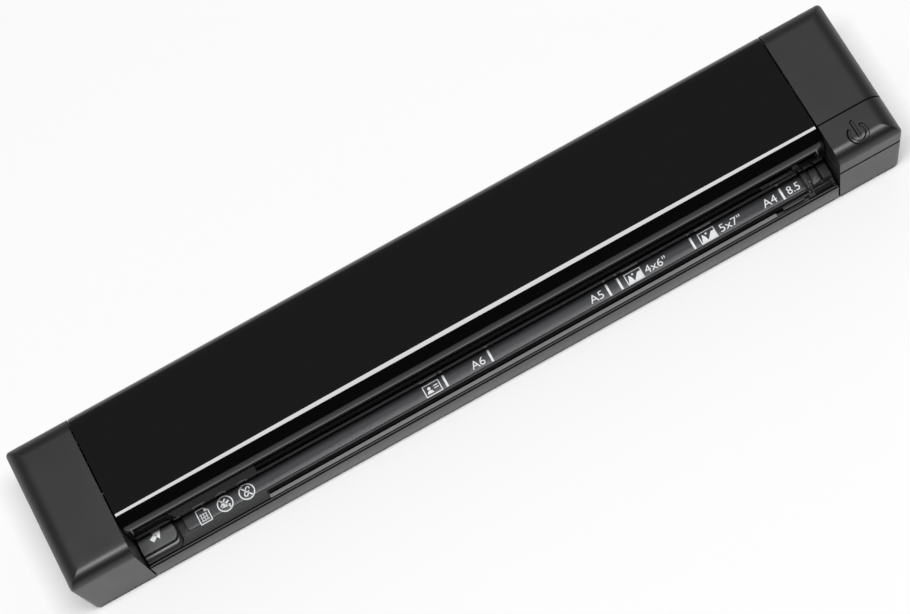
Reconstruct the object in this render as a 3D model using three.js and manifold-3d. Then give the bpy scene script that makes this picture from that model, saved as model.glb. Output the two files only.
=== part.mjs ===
// Portable sheet-fed document scanner. Millimetres, +Z up, +X along the machine, front at -Y.
// The origin is the middle of the footprint, on the surface that the feet stand on.
import * as THREE from "three";
import { mergeVertices } from "three/addons/utils/BufferGeometryUtils.js";
import Module from "manifold-3d";

const wasm = await Module();
wasm.setup();

const degrees = THREE.MathUtils.degToRad;

// Whole machine
const overallLength = 291;
const overallDepth = 51;
const overallHeight = 35.5;
const footHeight = 1;

// Clearances and the overrun that every cut takes
const seatGap = 0.3;
const fitGap = 0.15;
const runningGap = 0.06;
const seamGap = 0.5;
const overrun = 1;

// Facets
const cornerSteps = 5;
const roundSides = 16;
const smallSides = 12;
const smallSteps = 2;

// Shell mouldings: the end caps, the cover and the base share one drafted outline
const shellWall = 1.8;
const capLength = 22.2;
const faceDraft = degrees(4.3);
const endDraft = degrees(1.5);
const crownFrontRadius = 4.5;
const crownRearRadius = 5.5;
const crownEndRadius = 6;
const heelRadius = 1.2;
const tailRadius = 2.5;
const planRadius = 3;

// Glossy cover: a vertical front wall that leans back to a crease along the top
const trayDepth = 10.9;
const coverLean = 2.9;
const coverShoulderDrop = 4.1;
const coverBulgeRadius = 12;
const coverCreaseRadius = 0.7;
const entrySlotHeight = 1.9;
const exitSlotHeight = 2.8;
const coverPostRadius = 1.6;
const coverPostShares = [-0.2, 0.045, 0.36];
const coverEndPostInset = 6.8;

// Base housing
const baseWall = 1.6;
const skirtRecess = 0.2;
const trayHeight = 12;
const lipWidth = 0.6;
const lipStep = 0.7;
const guideLedge = 0.6;
const ribThickness = 1.2;
const ribStationShares = [-0.42, -0.225, 0.06, 0.2, 0.42];
const ribNotchGap = 0.5;
const skirtEdgeRadius = 0.4;

// Lower paper guide, which is also the tray in front of the cover
const guideThickness = 1.4;
const guideChannelDepth = 2.6;
const guideEdgeInset = 3;
const guideChannelWidth = 2.7;
const guideNeckReach = 1.6;
const plateauWidth = 3.6;
const plateauHeight = 2.2;
const plateauFrontInset = 2.1;
const trayRearGap = 0.4;
const windowGap = 0.7;

// Groove that the paper guide slides in, and the short pocket beside it
const grooveLeftInset = 43.2;
const grooveRightInset = 9.5;
const slotRightInset = 7.9;
const grooveLipWidth = 0.2;
const grooveWidth = 1.8;
const grooveLedgeWidth = 0.7;
const grooveLedgeDrop = 0.3;
const grooveLedgeFall = 0.2;
const grooveDepth = 1.5;
const keelSlotWidth = 0.8;
const keelSlotInset = 0.8;
const pocketLeftInset = 7.4;
const pocketRightInset = 1.2;

// Size strip, an inlay in the tray
const stripLeftInset = 15.8;
const stripRightInset = 4.4;
const stripFrontGap = 0.6;
const stripUnderCover = 1.3;
const stripThickness = 0.3;
const stripCornerRadius = 1.2;

// Left pad, the fixed block with the feed arrow
const padInset = 14.3;
const padSideSlope = 2;
const padHeight = 2.3;
const padToeInset = 0.2;
const padBrowInset = 2.2;
const padBrowDrop = 0.8;
const padToeHeight = 0.4;

// Paper guide: fence, finger tile and foot
const fenceInset = 9;
const fenceRearWidth = 2;
const fenceFrontWidth = 0.8;
const fenceRearGap = 0.5;
const fenceFrontInset = 1.2;
const fenceHeight = 3.2;
const tileOffset = 1.5;
const tileLength = 3.4;
const tileRearGap = 0.5;
const tileFrontInset = 2.1;
const tileHeight = 2;
const tileCornerRadius = 0.8;
const footLength = 11.1;
const footDrop = 0.1;
const keelFlangeWidth = 1.5;
const keelFlangeThickness = 1.1;

// Driven rollers under the paper and the pinch rollers over it
const feedAxisReach = 6.6;
const exitAxisInset = 8.9;
const tyreRadius = 4.5;
const tyreLength = 16;
const tyreProud = 0.2;
const shaftRadius = 2;
const shaftEndReach = 2.3;
const clipGrooveDepth = 0.4;
const clipGrooveWidth = 0.8;
const clipGrooveInset = 1.2;
const rollerStationShares = [-0.326, -0.122, 0.306];
const pinchRadius = 3.5;
const pinchLength = 14;
const pinchShaftRadius = 1;
const pinchShaftInset = 3.2;
const nipGap = 0.25;

// Side frames and bushes
const frameThickness = 1.2;
const frameInset = 2.2;
const frameFrontGap = 0.6;
const frameRearInset = 4.9;
const frameHeadroom = 2.7;
const frameFlangeDepth = 7;
const frameCornerRadius = 3;
const strapWidth = 5;
const strapTongueGap = 0.6;
const bushOuterRadius = 3.2;
const bushFlangeRadius = 4.1;
const bushFlangeThickness = 0.8;

// Upper paper guide, the plate under the cover
const upperPlateThickness = 0.8;
const upperPlateSideGap = 0.4;
const upperPlateFrontGap = 0.4;
const upperPlateRearInset = 3.4;
const sensorWallHeight = 7;
const sensorWallThickness = 1;
const earThickness = 1.6;
const earHalfWidth = 2.2;
const earCrown = 2.4;
const earStationShares = [-0.4, -0.224, 0.08, 0.407];

// Image sensor over a white platen
const sensorLeftInset = 13.8;
const sensorRightInset = 4.3;
const sensorTyreGap = 0.8;
const springRoom = 6.7;
const sensorLift = 1;
const sensorSideGap = 0.4;
const sensorFloat = 0.4;
const sensorTabLength = 1.4;
const sensorTabHeight = 3;
const sensorEndWall = 2;
const glassRebate = 1.5;
const glassThickness = 1.6;
const lensWidth = 2;
const lensLift = 3;
const lensHeadroom = 4;
const lightWidth = 2;
const lightHeight = 2.4;
const lensLightGap = 1.2;
const boardRebate = 1.9;
const boardThickness = 1.2;
const boardDrop = 0.6;
const platenRebate = 1.4;
const platenThickness = 0.5;
const springStationShares = [-0.326, 0.366];
const springRadius = 2.2;
const springWireRadius = 0.35;
const springTurns = 4;
const springStepsPerTurn = 7;
const springWireSides = 5;

// Drive train in the left end cap
const gearModule = 0.5;
const gearBacklash = 0.14;
const gearAddendumShare = 0.9;
const gearDedendumShare = 1.15;
const pressureAngle = degrees(20);
const rollerTeeth = 16;
const idlerTeeth = 38;
const compoundSmallTeeth = 14;
const compoundLargeTeeth = 36;
const pinionTeeth = 12;
const idlerHubRadius = 2.6;
const idlerRimWidth = 1.4;
const idlerWebRecess = 1.2;
const idlerHoleRadius = 1.5;
const idlerHoles = 4;
const gearSideGap = 1.6;
const rollerGearWidth = 3.6;
const gearPlaneGap = 0.4;
const largeGearWidth = 2.4;
const compoundAxisDrop = 13.94;
const studRadius = 1.2;
const gearPlateThickness = 1;
const gearPlateGap = 0.4;
const gearPlateFrontReach = 1.6;
const gearPlateRearInset = 4;
const gearPlateLowDrop = 1.2;
const gearPlateHeadroom = 1.9;
const gearPlateCornerRadius = 2.5;
const bracketReach = 4;
const bracketThickness = 1.2;
const bracketEndMargin = 2.5;
const gearPlatePostRadius = 1.2;
const gearPlatePostShares = [
  [0.333, 0.895],
  [0.91, 0.82],
  [0.91, 0.152],
];
const motorRadius = 10;
const motorHeadroom = 1.85;
const motorRearGap = 1.9;
const motorBossRadius = 3;
const motorRimRadius = 9.2;
const motorRimStep = 0.6;
const motorShaftRadius = 1;
const motorBoreDepth = 3;

// Paper lever, which the sheet's front edge pushes
const leverShare = -0.26;
const leverAxisReach = 3.6;
const leverAxisRise = 6;
const leverHubRadius = 1.4;
const leverPinRadius = 0.7;
const leverArmWidth = 2;
const leverArmThickness = 1;
const leverDip = 0.2;
const leverTail = 2.2;
const leverEarReach = 3;
const leverSlotReach = 7.2;

// Power button, the top front corner of the right end cap
const buttonDepth = 13.5;
const buttonHeight = 12.1;
const buttonSeamGap = 0.35;
const buttonLowerGap = 0.8;
const buttonWall = 1.6;
const buttonTravel = 0.5;
const symbolReach = 9.4;
const symbolInset = 5.05;
const symbolRadius = 3.45;
const symbolStroke = 1.1;
const symbolDepth = 0.45;
const symbolOpening = degrees(94);
const symbolBarLength = 5.6;
const plungerRadius = 1.8;
const plungerInset = 8.5;

// Circuit board in the right end cap, with the button's switch and the USB socket
const boardSeamReach = 2.4;
const boardEndInset = 4.1;
const boardSideInset = 5.5;
const boardSeamDrop = 4.2;
const mainBoardThickness = 1.6;
const boardPostRadius = 2;
const boardPostShares = [
  [0.15, 0.3],
  [0.15, 0.88],
  [0.78, 0.45],
];
const processorSize = 6;
const processorHeight = 1.1;
const processorShares = [0.66, 0.32];
const memorySize = 4;
const memoryShares = [0.24, 0.84];
const ribbonPlugLength = 2.6;
const ribbonPlugHeight = 2;
const sensorPlugLength = 5;
const sensorPlugHeight = 0.5;
const switchSize = 5.2;
const switchHeight = 3;
const switchStemRadius = 1.6;
const switchStemHeight = 0.8;
const socketMidY = 8;
const socketWidth = 7.6;
const socketHeight = 2.8;
const socketLength = 5.6;
const socketWall = 0.4;
const socketMouthInset = 0.7;
const socketTongueHeight = 0.8;
const socketOpeningGap = 0.5;
const ribbonWidth = 7;
const ribbonThickness = 0.3;
const ribbonTailInset = 11.3;
const ribbonBendInset = 1.3;
const ribbonFootReach = 3.7;
const ribbonEndReach = 7.7;

// Feet and the screw wells under the end caps
const footRadius = 4.2;
const footRecessDepth = 0.6;
const footEndInset = 41.5;
const footSideInset = 11.5;
const screwReach = 9.7;
const screwSideInset = 10.5;
const screwWellRadius = 2.4;
const screwWellDepth = 4;
const screwBossWall = 1.3;
const screwHeadRadius = 1.9;
const screwHeadHeight = 1.4;
const screwShankRadius = 0.9;
const screwShankLength = 4;

// Places worked out from the sizes above: the ends, the seams and the heights
const endX = overallLength / 2;
const frontY = -overallDepth / 2;
const rearY = overallDepth / 2;
const crownZ = overallHeight;
const undersideZ = footHeight;
const seamX = endX - capLength;
const midHalf = seamX - seamGap;
const alongMiddle = (share) => share * 2 * midHalf;
const coverFrontLowZ = trayHeight + entrySlotHeight;
const coverRearLowZ = trayHeight + exitSlotHeight;
const coverRoofZ = crownZ - shellWall;
const floorZ = undersideZ + baseWall;
const capFloorZ = undersideZ + shellWall;

// The cover's front wall, and the tray's lines between it and the front edge
const coverFrontY = frontY + trayDepth;
const coverCreaseY = coverFrontY + coverLean;
const coverShoulderZ = crownZ - coverShoulderDrop;
const trayRearY = coverFrontY - trayRearGap;
const guideFrontY = frontY + guideEdgeInset;
const guideChannelRearY = guideFrontY + guideChannelWidth;
const guideNeckY = coverFrontY + guideNeckReach;
const guideUndersideZ = trayHeight - guideThickness;
const channelUndersideZ = trayHeight - guideChannelDepth;
const guideHalf = midHalf - fitGap;
const grooveLeftX = grooveLeftInset - midHalf;
const grooveRightX = midHalf - grooveRightInset;
const slotRightX = midHalf - slotRightInset;
const grooveFrontY = guideFrontY + grooveLipWidth;
const grooveLedgeY = grooveFrontY + grooveLedgeWidth;
const grooveRearY = grooveFrontY + grooveWidth;
const keelMidY = (grooveLedgeY + grooveRearY) / 2;

// The rollers, the frames that carry them and the plate over the paper
const feedAxisY = coverFrontY + feedAxisReach;
const exitAxisY = rearY - exitAxisInset;
const driveAxisZ = trayHeight + tyreProud - tyreRadius;
const pinchAxisZ = trayHeight + tyreProud + nipGap + pinchRadius;
const rollerStations = rollerStationShares.map(alongMiddle);
const earStations = earStationShares.map(alongMiddle);
const frameInnerX = midHalf - frameInset;
const frameOuterX = frameInnerX + frameThickness;
const frameFrontY = coverFrontY + shellWall + frameFrontGap;
const frameRearY = rearY - frameRearInset;
const frameTopZ = coverRoofZ - frameHeadroom;
const bushOuterX = frameOuterX + seatGap + bushFlangeThickness;
const upperPlateHalf = frameInnerX - upperPlateSideGap;
const upperPlateFrontY = coverFrontY + shellWall + upperPlateFrontGap;
const upperPlateRearY = rearY - upperPlateRearInset;
const upperPlateTopZ = coverFrontLowZ + upperPlateThickness;
const pinchShaftHalf = upperPlateHalf - pinchShaftInset;

// The image sensor between the rollers
const sensorLeftX = sensorLeftInset - midHalf;
const sensorRightX = midHalf - sensorRightInset;
const sensorMidY = (feedAxisY + exitAxisY) / 2;
const sensorWidth = exitAxisY - feedAxisY - 2 * (tyreRadius + sensorTyreGap);
const sensorFrontY = sensorMidY - sensorWidth / 2;
const sensorRearY = sensorMidY + sensorWidth / 2;
const sensorUndersideZ = trayHeight + sensorLift;
const sensorTopZ = coverRoofZ - springRoom;
const lensHeight = sensorTopZ - sensorUndersideZ - lensLift - lensHeadroom;
const lightOffset = -(lensWidth / 2 + lensLightGap + lightWidth / 2);
const sensorBoardZ = sensorTopZ - boardDrop - boardThickness;
const springStations = springStationShares.map(alongMiddle);

// The drive train beside the left frame, from the roller gears outwards
const rollerGearInnerX = -(bushOuterX + gearSideGap);
const rollerGearOuterX = rollerGearInnerX - rollerGearWidth;
const largeGearInnerX = rollerGearOuterX - gearPlaneGap;
const largeGearOuterX = largeGearInnerX - largeGearWidth;
const shaftLeftX = rollerGearOuterX - seatGap;
const shaftRightX = bushOuterX + shaftEndReach;
const doorwayRearY = exitAxisY + gearModule * (rollerTeeth / 2 + gearAddendumShare) + seatGap;
const gearPlateFrontY = coverFrontY + gearPlateFrontReach;
const gearPlateRearY = rearY - gearPlateRearInset;
const gearPlateLowZ = trayHeight - gearPlateLowDrop;
const gearPlateTopZ = coverRoofZ - gearPlateHeadroom;
const compoundAxisZ = coverRoofZ - compoundAxisDrop;
const motorAxisZ = coverRoofZ - motorHeadroom - motorRadius;

// The lever, the button and the circuit board
const leverX = alongMiddle(leverShare);
const leverAxisY = coverFrontY + leverAxisReach;
const leverAxisZ = trayHeight + leverAxisRise;
const leverSlotRearY = coverFrontY + leverSlotReach;
const buttonSeamY = frontY + buttonDepth;
const buttonSeamZ = crownZ - buttonHeight;
const buttonLowZ = buttonSeamZ + buttonLowerGap;
const symbolX = seamX + symbolReach;
const symbolY = frontY + symbolInset;
const plungerY = frontY + plungerInset;
const boardLeftX = seamX + boardSeamReach;
const boardRightX = endX - boardEndInset;
const boardHalfDepth = overallDepth / 2 - boardSideInset;
const boardUndersideZ = buttonSeamZ - boardSeamDrop;
const boardTopZ = boardUndersideZ + mainBoardThickness;
const screwX = seamX + screwReach;
const screwY = overallDepth / 2 - screwSideInset;
const bossTopZ = capFloorZ + screwWellDepth;
const bracketLowZ = bossTopZ + seatGap;
const bracketHalf = screwY + bracketEndMargin;
const footX = endX - footEndInset;
const footY = overallDepth / 2 - footSideInset;

// Helpers: outlines

// Y of the drafted rear face at a height, and of the front face.
function rearFaceAt(z) {
  const centreY = rearY - crownRearRadius;
  const centreZ = crownZ - crownRearRadius;
  return centreY + (crownRearRadius + (z - centreZ) * Math.sin(faceDraft)) / Math.cos(faceDraft);
}

function frontFaceAt(z) {
  const centreY = frontY + crownFrontRadius;
  const centreZ = crownZ - crownFrontRadius;
  return centreY - (crownFrontRadius + (z - centreZ) * Math.sin(faceDraft)) / Math.cos(faceDraft);
}

// X of the outer face of the right end cap at a height.
function endFaceAt(z) {
  const centreX = endX - crownEndRadius;
  const centreZ = crownZ - crownEndRadius;
  return centreX + (crownEndRadius + (z - centreZ) * Math.sin(endDraft)) / Math.cos(endDraft);
}

// Moves every edge of an anticlockwise outline inwards. A corner is [first, second, radius].
function insetCorners(corners, inset) {
  const count = corners.length;
  const points = corners.map(([first, second]) => new THREE.Vector2(first, second));
  const edges = points.map((point, index) => {
    const direction = points[(index + 1) % count].clone().sub(point).normalize();
    const inward = new THREE.Vector2(-direction.y, direction.x);
    return { start: point.clone().addScaledVector(inward, inset), direction };
  });
  return corners.map((corner, index) => {
    const before = edges[(index + count - 1) % count];
    const after = edges[index];
    const across = after.start.clone().sub(before.start);
    const reach = across.cross(after.direction) / before.direction.cross(after.direction);
    const moved = before.start.clone().addScaledVector(before.direction, reach);
    return [moved.x, moved.y, Math.max(corner[2] - inset, 0)];
  });
}

// A closed shape whose corners are rounded, each by its own radius.
function roundedShape(corners, steps = cornerSteps) {
  const count = corners.length;
  const points = corners.map(([first, second]) => new THREE.Vector2(first, second));
  const outline = [];
  corners.forEach(([, , radius], index) => {
    const corner = points[index];
    if (!radius) {
      outline.push(corner);
      return;
    }
    const back = points[(index + count - 1) % count].clone().sub(corner).normalize();
    const ahead = points[(index + 1) % count].clone().sub(corner).normalize();
    const half = Math.acos(THREE.MathUtils.clamp(back.dot(ahead), -1, 1)) / 2;
    const centre = back.clone().add(ahead).normalize();
    centre.multiplyScalar(radius / Math.sin(half)).add(corner);
    const first = back.clone().multiplyScalar(radius / Math.tan(half)).add(corner).sub(centre);
    const last = ahead.clone().multiplyScalar(radius / Math.tan(half)).add(corner).sub(centre);
    const sweep = Math.atan2(first.cross(last), first.dot(last));
    for (let step = 0; step <= steps; step += 1) {
      const turn = (sweep * step) / steps;
      outline.push(first.clone().rotateAround(new THREE.Vector2(), turn).add(centre));
    }
  });
  return new THREE.Shape(outline);
}

function rectangle(lowFirst, highFirst, lowSecond, highSecond, radius = 0) {
  return [
    [lowFirst, lowSecond, radius],
    [highFirst, lowSecond, radius],
    [highFirst, highSecond, radius],
    [lowFirst, highSecond, radius],
  ];
}

function polygonShape(radius, sides, centre = [0, 0]) {
  const points = Array.from({ length: sides }, (_, side) => {
    const turn = (side * 2 * Math.PI) / sides;
    return new THREE.Vector2(centre[0] + radius * Math.cos(turn), centre[1] + radius * Math.sin(turn));
  });
  return new THREE.Shape(points);
}

// The radius whose polygon clears a round piece of the given radius.
function boreRadius(radius, gap, sides = roundSides) {
  return (radius + gap) / Math.cos(Math.PI / sides);
}

// Helpers: solids

function toSolid(geometry) {
  geometry.deleteAttribute("normal");
  geometry.deleteAttribute("uv");
  const merged = mergeVertices(geometry);
  const index = Array.from(merged.index.array);
  const triangles = [];
  for (let first = 0; first < index.length; first += 3) {
    const [a, b, c] = index.slice(first, first + 3);
    if (a !== b && b !== c && c !== a) triangles.push(a, b, c);
  }
  return new wasm.Manifold(
    new wasm.Mesh({
      numProp: 3,
      vertProperties: new Float32Array(merged.attributes.position.array),
      triVerts: new Uint32Array(triangles),
    }),
  );
}

function toGeometry(solid) {
  const mesh = solid.getMesh();
  const geometry = new THREE.BufferGeometry();
  geometry.setAttribute("position", new THREE.BufferAttribute(mesh.vertProperties, mesh.numProp));
  geometry.setIndex(new THREE.BufferAttribute(mesh.triVerts, 1));
  const flat = geometry.toNonIndexed();
  flat.computeVertexNormals();
  return flat;
}

const axisX = new THREE.Vector3(1, 0, 0);
const axisY = new THREE.Vector3(0, 1, 0);
const axisZ = new THREE.Vector3(0, 0, 1);

// A prism of a shape between two places on an axis. Along X the shape is drawn in (Y, Z),
// along Y in (X, Z), and along Z in (X, Y).
function prism(axis, shape, low, high) {
  const geometry = new THREE.ExtrudeGeometry(shape, { depth: high - low, bevelEnabled: false });
  const turn = new THREE.Matrix4();
  if (axis === "x") turn.makeBasis(axisY, axisZ, axisX).setPosition(low, 0, 0);
  if (axis === "y") turn.makeBasis(axisX, axisZ, axisY.clone().negate()).setPosition(0, high, 0);
  if (axis === "z") turn.setPosition(0, 0, low);
  return toSolid(geometry.applyMatrix4(turn));
}

function block(lowX, highX, lowY, highY, lowZ, highZ) {
  return prism("z", roundedShape(rectangle(lowX, highX, lowY, highY)), lowZ, highZ);
}

function rod(axis, radius, centre, low, high, sides = roundSides) {
  return prism(axis, polygonShape(radius, sides, centre), low, high);
}

function bore(axis, radius, gap, centre, low, high, sides = roundSides) {
  return rod(axis, boreRadius(radius, gap, sides), centre, low - overrun, high + overrun, sides);
}

function union(solids) {
  return solids.reduce((whole, solid) => whole.add(solid));
}

function cut(solid, tools) {
  return tools.reduce((rest, tool) => rest.subtract(tool), solid);
}

// Materials
function finish(color, roughness, metalness = 0) {
  return new THREE.MeshStandardMaterial({ color, roughness, metalness });
}

const finishes = {
  capPlastic: () => finish(0x3c3e3e, 0.55),
  glossBlack: () => finish(0x060606, 0.05),
  basePlastic: () => finish(0x303232, 0.6),
  traySatin: () => finish(0x2c2d31, 0.35),
  stripPrint: () => finish(0x24262c, 0.3),
  blackPlastic: () => finish(0x151515, 0.5),
  whitePlastic: () => finish(0xe8e8e4, 0.4),
  gearPlastic: () => finish(0xd9d6cc, 0.45),
  steel: () => finish(0xb4b6b8, 0.3, 1),
  rubber: () => finish(0x1b1b1b, 0.9),
  glass: () => finish(0xbfd0cc, 0.05),
  circuit: () => finish(0x1d5a36, 0.5),
};

const scanner = new THREE.Group();

function addPiece(parent, name, solid, material, position = [0, 0, 0]) {
  const mesh = new THREE.Mesh(toGeometry(solid), material);
  mesh.name = name;
  mesh.position.set(...position);
  parent.add(mesh);
  return mesh;
}

// End caps

// The Y-Z outline of an end cap, anticlockwise from the front bottom corner.
const capSection = [
  [frontFaceAt(undersideZ), undersideZ, heelRadius],
  [rearFaceAt(undersideZ), undersideZ, tailRadius],
  [rearFaceAt(crownZ), crownZ, crownRearRadius],
  [frontFaceAt(crownZ), crownZ, crownFrontRadius],
];

// A cap's solid body: the section, the end view and the plan view cut each other to size.
// side is 1 for the right cap and -1 for the left one.
function capBody(side, inset) {
  const inner = seamX + inset;
  const endView = [
    [seamX, undersideZ, 0],
    [endFaceAt(undersideZ), undersideZ, heelRadius],
    [endFaceAt(crownZ), crownZ, crownEndRadius],
    [seamX, crownZ, 0],
  ];
  const plan = [
    [seamX, frontY, 0],
    [endX, frontY, planRadius],
    [endX, rearY, planRadius],
    [seamX, rearY, 0],
  ];
  const facing = (corners) => roundedShape(corners.map(([x, other, radius]) => [side * x, other, radius]));
  const [low, high] = side > 0 ? [inner, endX + overrun] : [-endX - overrun, -inner];
  const section = prism("x", roundedShape(insetCorners(capSection, inset)), low, high);
  const end = prism("y", facing(insetCorners(endView, inset)), frontY - overrun, rearY + overrun);
  const top = prism("z", facing(insetCorners(plan, inset)), -overrun, crownZ + overrun);
  return section.intersect(end).intersect(top);
}

// A block between two distances from the middle, on the cap's own side.
function sideBlock(side, nearX, farX, lowY, highY, lowZ, highZ) {
  const [lowX, highX] = side > 0 ? [nearX, farX] : [-farX, -nearX];
  return block(lowX, highX, lowY, highY, lowZ, highZ);
}

const screwPlaces = [
  [-screwX, -screwY],
  [-screwX, screwY],
  [screwX, -screwY],
  [screwX, screwY],
];

// The hollow cap: its inner face stays closed beside the tray and is open behind it.
function capShell(side) {
  const hollow = capBody(side, shellWall);
  const doorway = sideBlock(
    side,
    seamX - overrun,
    seamX + shellWall + overrun,
    guideNeckY - shellWall,
    doorwayRearY,
    capFloorZ,
    coverRoofZ,
  );
  const wells = screwPlaces
    .filter(([x]) => x * side > 0)
    .map((place) => {
      const boss = rod("z", screwWellRadius + screwBossWall, place, capFloorZ - seatGap, bossTopZ);
      const well = rod("z", screwWellRadius, place, undersideZ - overrun, undersideZ + screwWellDepth);
      const hole = rod("z", screwShankRadius + fitGap, place, undersideZ, bossTopZ + overrun);
      return { boss, well, hole };
    });
  let shell = cut(capBody(side, 0), [hollow, doorway]);
  wells.forEach(({ boss, well, hole }) => {
    shell = cut(shell.add(boss), [well, hole]);
  });
  return shell;
}

const endCaps = new THREE.Group();
addPiece(endCaps, "left_end_cap", capShell(-1), finishes.capPlastic());

// The corner that the button fills, from the seams outwards, widened by a gap.
function buttonCorner(seamY, lowZ) {
  return block(seamX - overrun, endX + overrun, frontY - overrun, seamY, lowZ, crownZ + overrun);
}

// The cap keeps a rib behind the button's rear seam and posts under the circuit board.
const seamRib = block(
  seamX + shellWall - seatGap,
  endX - crownEndRadius,
  buttonSeamY,
  buttonSeamY + shellWall,
  buttonSeamZ,
  coverRoofZ + seatGap,
);
const boardPosts = boardPostShares.map(([shareX, shareY]) => {
  const x = boardLeftX + shareX * (boardRightX - boardLeftX);
  const y = -boardHalfDepth + shareY * 2 * boardHalfDepth;
  return rod("z", boardPostRadius, [x, y], capFloorZ - seatGap, boardUndersideZ - seatGap, smallSides);
});
const socketLowZ = boardTopZ + seatGap;
const socketOpening = block(
  endX - crownEndRadius,
  endX + overrun,
  socketMidY - socketWidth / 2 - socketOpeningGap,
  socketMidY + socketWidth / 2 + socketOpeningGap,
  socketLowZ - socketOpeningGap,
  socketLowZ + socketHeight + socketOpeningGap,
);
const rightShell = capShell(1).subtract(buttonCorner(buttonSeamY, buttonSeamZ));
const rightCap = cut(union([rightShell, seamRib, ...boardPosts]), [socketOpening]);
addPiece(endCaps, "right_end_cap", rightCap, finishes.capPlastic());

// Power button: a shell cut from the same body, with the plunger that presses the switch
function powerSymbol() {
  const ring = polygonShape(symbolRadius, roundSides, [symbolX, symbolY]);
  ring.holes.push(polygonShape(symbolRadius - symbolStroke, roundSides, [symbolX, symbolY]));
  const reach = symbolRadius + overrun;
  const spread = reach * Math.tan(symbolOpening / 2);
  const mouth = new THREE.Shape([
    new THREE.Vector2(symbolX, symbolY),
    new THREE.Vector2(symbolX + spread, symbolY + reach),
    new THREE.Vector2(symbolX - spread, symbolY + reach),
  ]);
  const bar = rectangle(
    symbolX - symbolStroke / 2,
    symbolX + symbolStroke / 2,
    symbolY + symbolRadius - symbolBarLength + symbolStroke,
    symbolY + symbolRadius + symbolStroke,
  );
  const lowZ = crownZ - crownFrontRadius;
  const highZ = crownZ + overrun;
  const arc = prism("z", ring, lowZ, highZ).subtract(prism("z", mouth, lowZ - overrun, highZ + overrun));
  return arc.add(prism("z", roundedShape(bar), lowZ, highZ));
}

const buttonRearY = buttonSeamY - buttonSeamGap;
const buttonOuter = capBody(1, 0).intersect(buttonCorner(buttonRearY, buttonLowZ));
const buttonHollow = capBody(1, buttonWall).intersect(
  buttonCorner(buttonRearY - buttonWall, buttonLowZ - overrun),
);
const symbolCut = powerSymbol().subtract(capBody(1, symbolDepth));
const switchTopZ = boardTopZ + seatGap + switchHeight + switchStemHeight;
const plungerLowZ = switchTopZ + seatGap + buttonTravel;
const plungerTopZ = crownZ - buttonWall + seatGap;
const plunger = rod("z", plungerRadius, [symbolX, plungerY], plungerLowZ, plungerTopZ, smallSides);
const buttonShell = cut(buttonOuter, [buttonHollow]).add(plunger).subtract(symbolCut);
addPiece(endCaps, "power_button", buttonShell, finishes.capPlastic());

const screwHead = rod("z", screwHeadRadius, [0, 0], 0, screwHeadHeight, smallSides);
const screwEnd = screwHeadHeight + screwShankLength;
const screwShank = rod("z", screwShankRadius, [0, 0], screwHeadHeight / 2, screwEnd, smallSides);
const screwSolid = screwHead.add(screwShank);
screwPlaces.forEach(([x, y], index) => {
  const headZ = undersideZ + screwWellDepth - seatGap - screwHeadHeight;
  addPiece(endCaps, `cap_screw_${index + 1}`, screwSolid, finishes.steel(), [x, y, headZ]);
});
scanner.add(endCaps);

// Glossy cover
const coverCorners = [
  [coverFrontY, coverFrontLowZ, 0],
  [rearFaceAt(coverRearLowZ), coverRearLowZ, 0],
  [rearFaceAt(crownZ), crownZ, crownRearRadius],
  [coverCreaseY, crownZ, coverCreaseRadius],
  [coverFrontY, coverShoulderZ, coverBulgeRadius],
];
const coverHollow = insetCorners(
  [[coverFrontY, undersideZ, 0], [rearFaceAt(undersideZ), undersideZ, 0], ...coverCorners.slice(2)],
  shellWall,
);
const coverPostY = upperPlateRearY - coverPostRadius;
const coverPostPlaces = [
  [coverEndPostInset - midHalf, sensorMidY],
  ...coverPostShares.map((share) => [alongMiddle(share), coverPostY]),
];
const coverPosts = coverPostPlaces.map((place) =>
  rod("z", coverPostRadius, place, upperPlateTopZ + seatGap, coverRoofZ + seatGap, smallSides),
);
const coverShell = prism("x", roundedShape(coverCorners), -midHalf, midHalf).subtract(
  prism("x", roundedShape(coverHollow), -midHalf - overrun, midHalf + overrun),
);
addPiece(scanner, "top_cover", union([coverShell, ...coverPosts]), finishes.glossBlack());

// Base housing: one long channel whose front wall ends in a stepped lip under the tray's edge
const skirtFrontAt = (z) => frontFaceAt(z) + skirtRecess;
const skirtRearAt = (z) => rearFaceAt(z) - skirtRecess;
const lipInnerY = guideFrontY - seatGap;
const lipOuterY = lipInnerY - lipWidth;
const shoulderZ = trayHeight - lipStep;
const frontLedgeZ = channelUndersideZ - seatGap;
const rearLedgeZ = guideUndersideZ - seatGap;
const rearLipY = skirtRearAt(trayHeight) - baseWall;
const guideRearY = rearLipY - seatGap;
const baseFloorFrontY = skirtFrontAt(floorZ) + baseWall;
const baseFloorRearY = skirtRearAt(floorZ) - baseWall - guideLedge;
const baseOutline = [
  [skirtFrontAt(undersideZ), undersideZ, heelRadius],
  [skirtRearAt(undersideZ), undersideZ, tailRadius],
  [skirtRearAt(trayHeight), trayHeight, 0],
  [rearLipY, trayHeight, 0],
  [rearLipY, rearLedgeZ, 0],
  [rearLipY - guideLedge, rearLedgeZ, 0],
  [baseFloorRearY, floorZ, 0],
  [baseFloorFrontY, floorZ, 0],
  [lipInnerY + guideLedge, frontLedgeZ, 0],
  [lipInnerY, frontLedgeZ, 0],
  [lipInnerY, trayHeight, 0],
  [lipOuterY, trayHeight, 0],
  [lipOuterY, shoulderZ, 0],
  [skirtFrontAt(shoulderZ), shoulderZ, skirtEdgeRadius],
];

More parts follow.
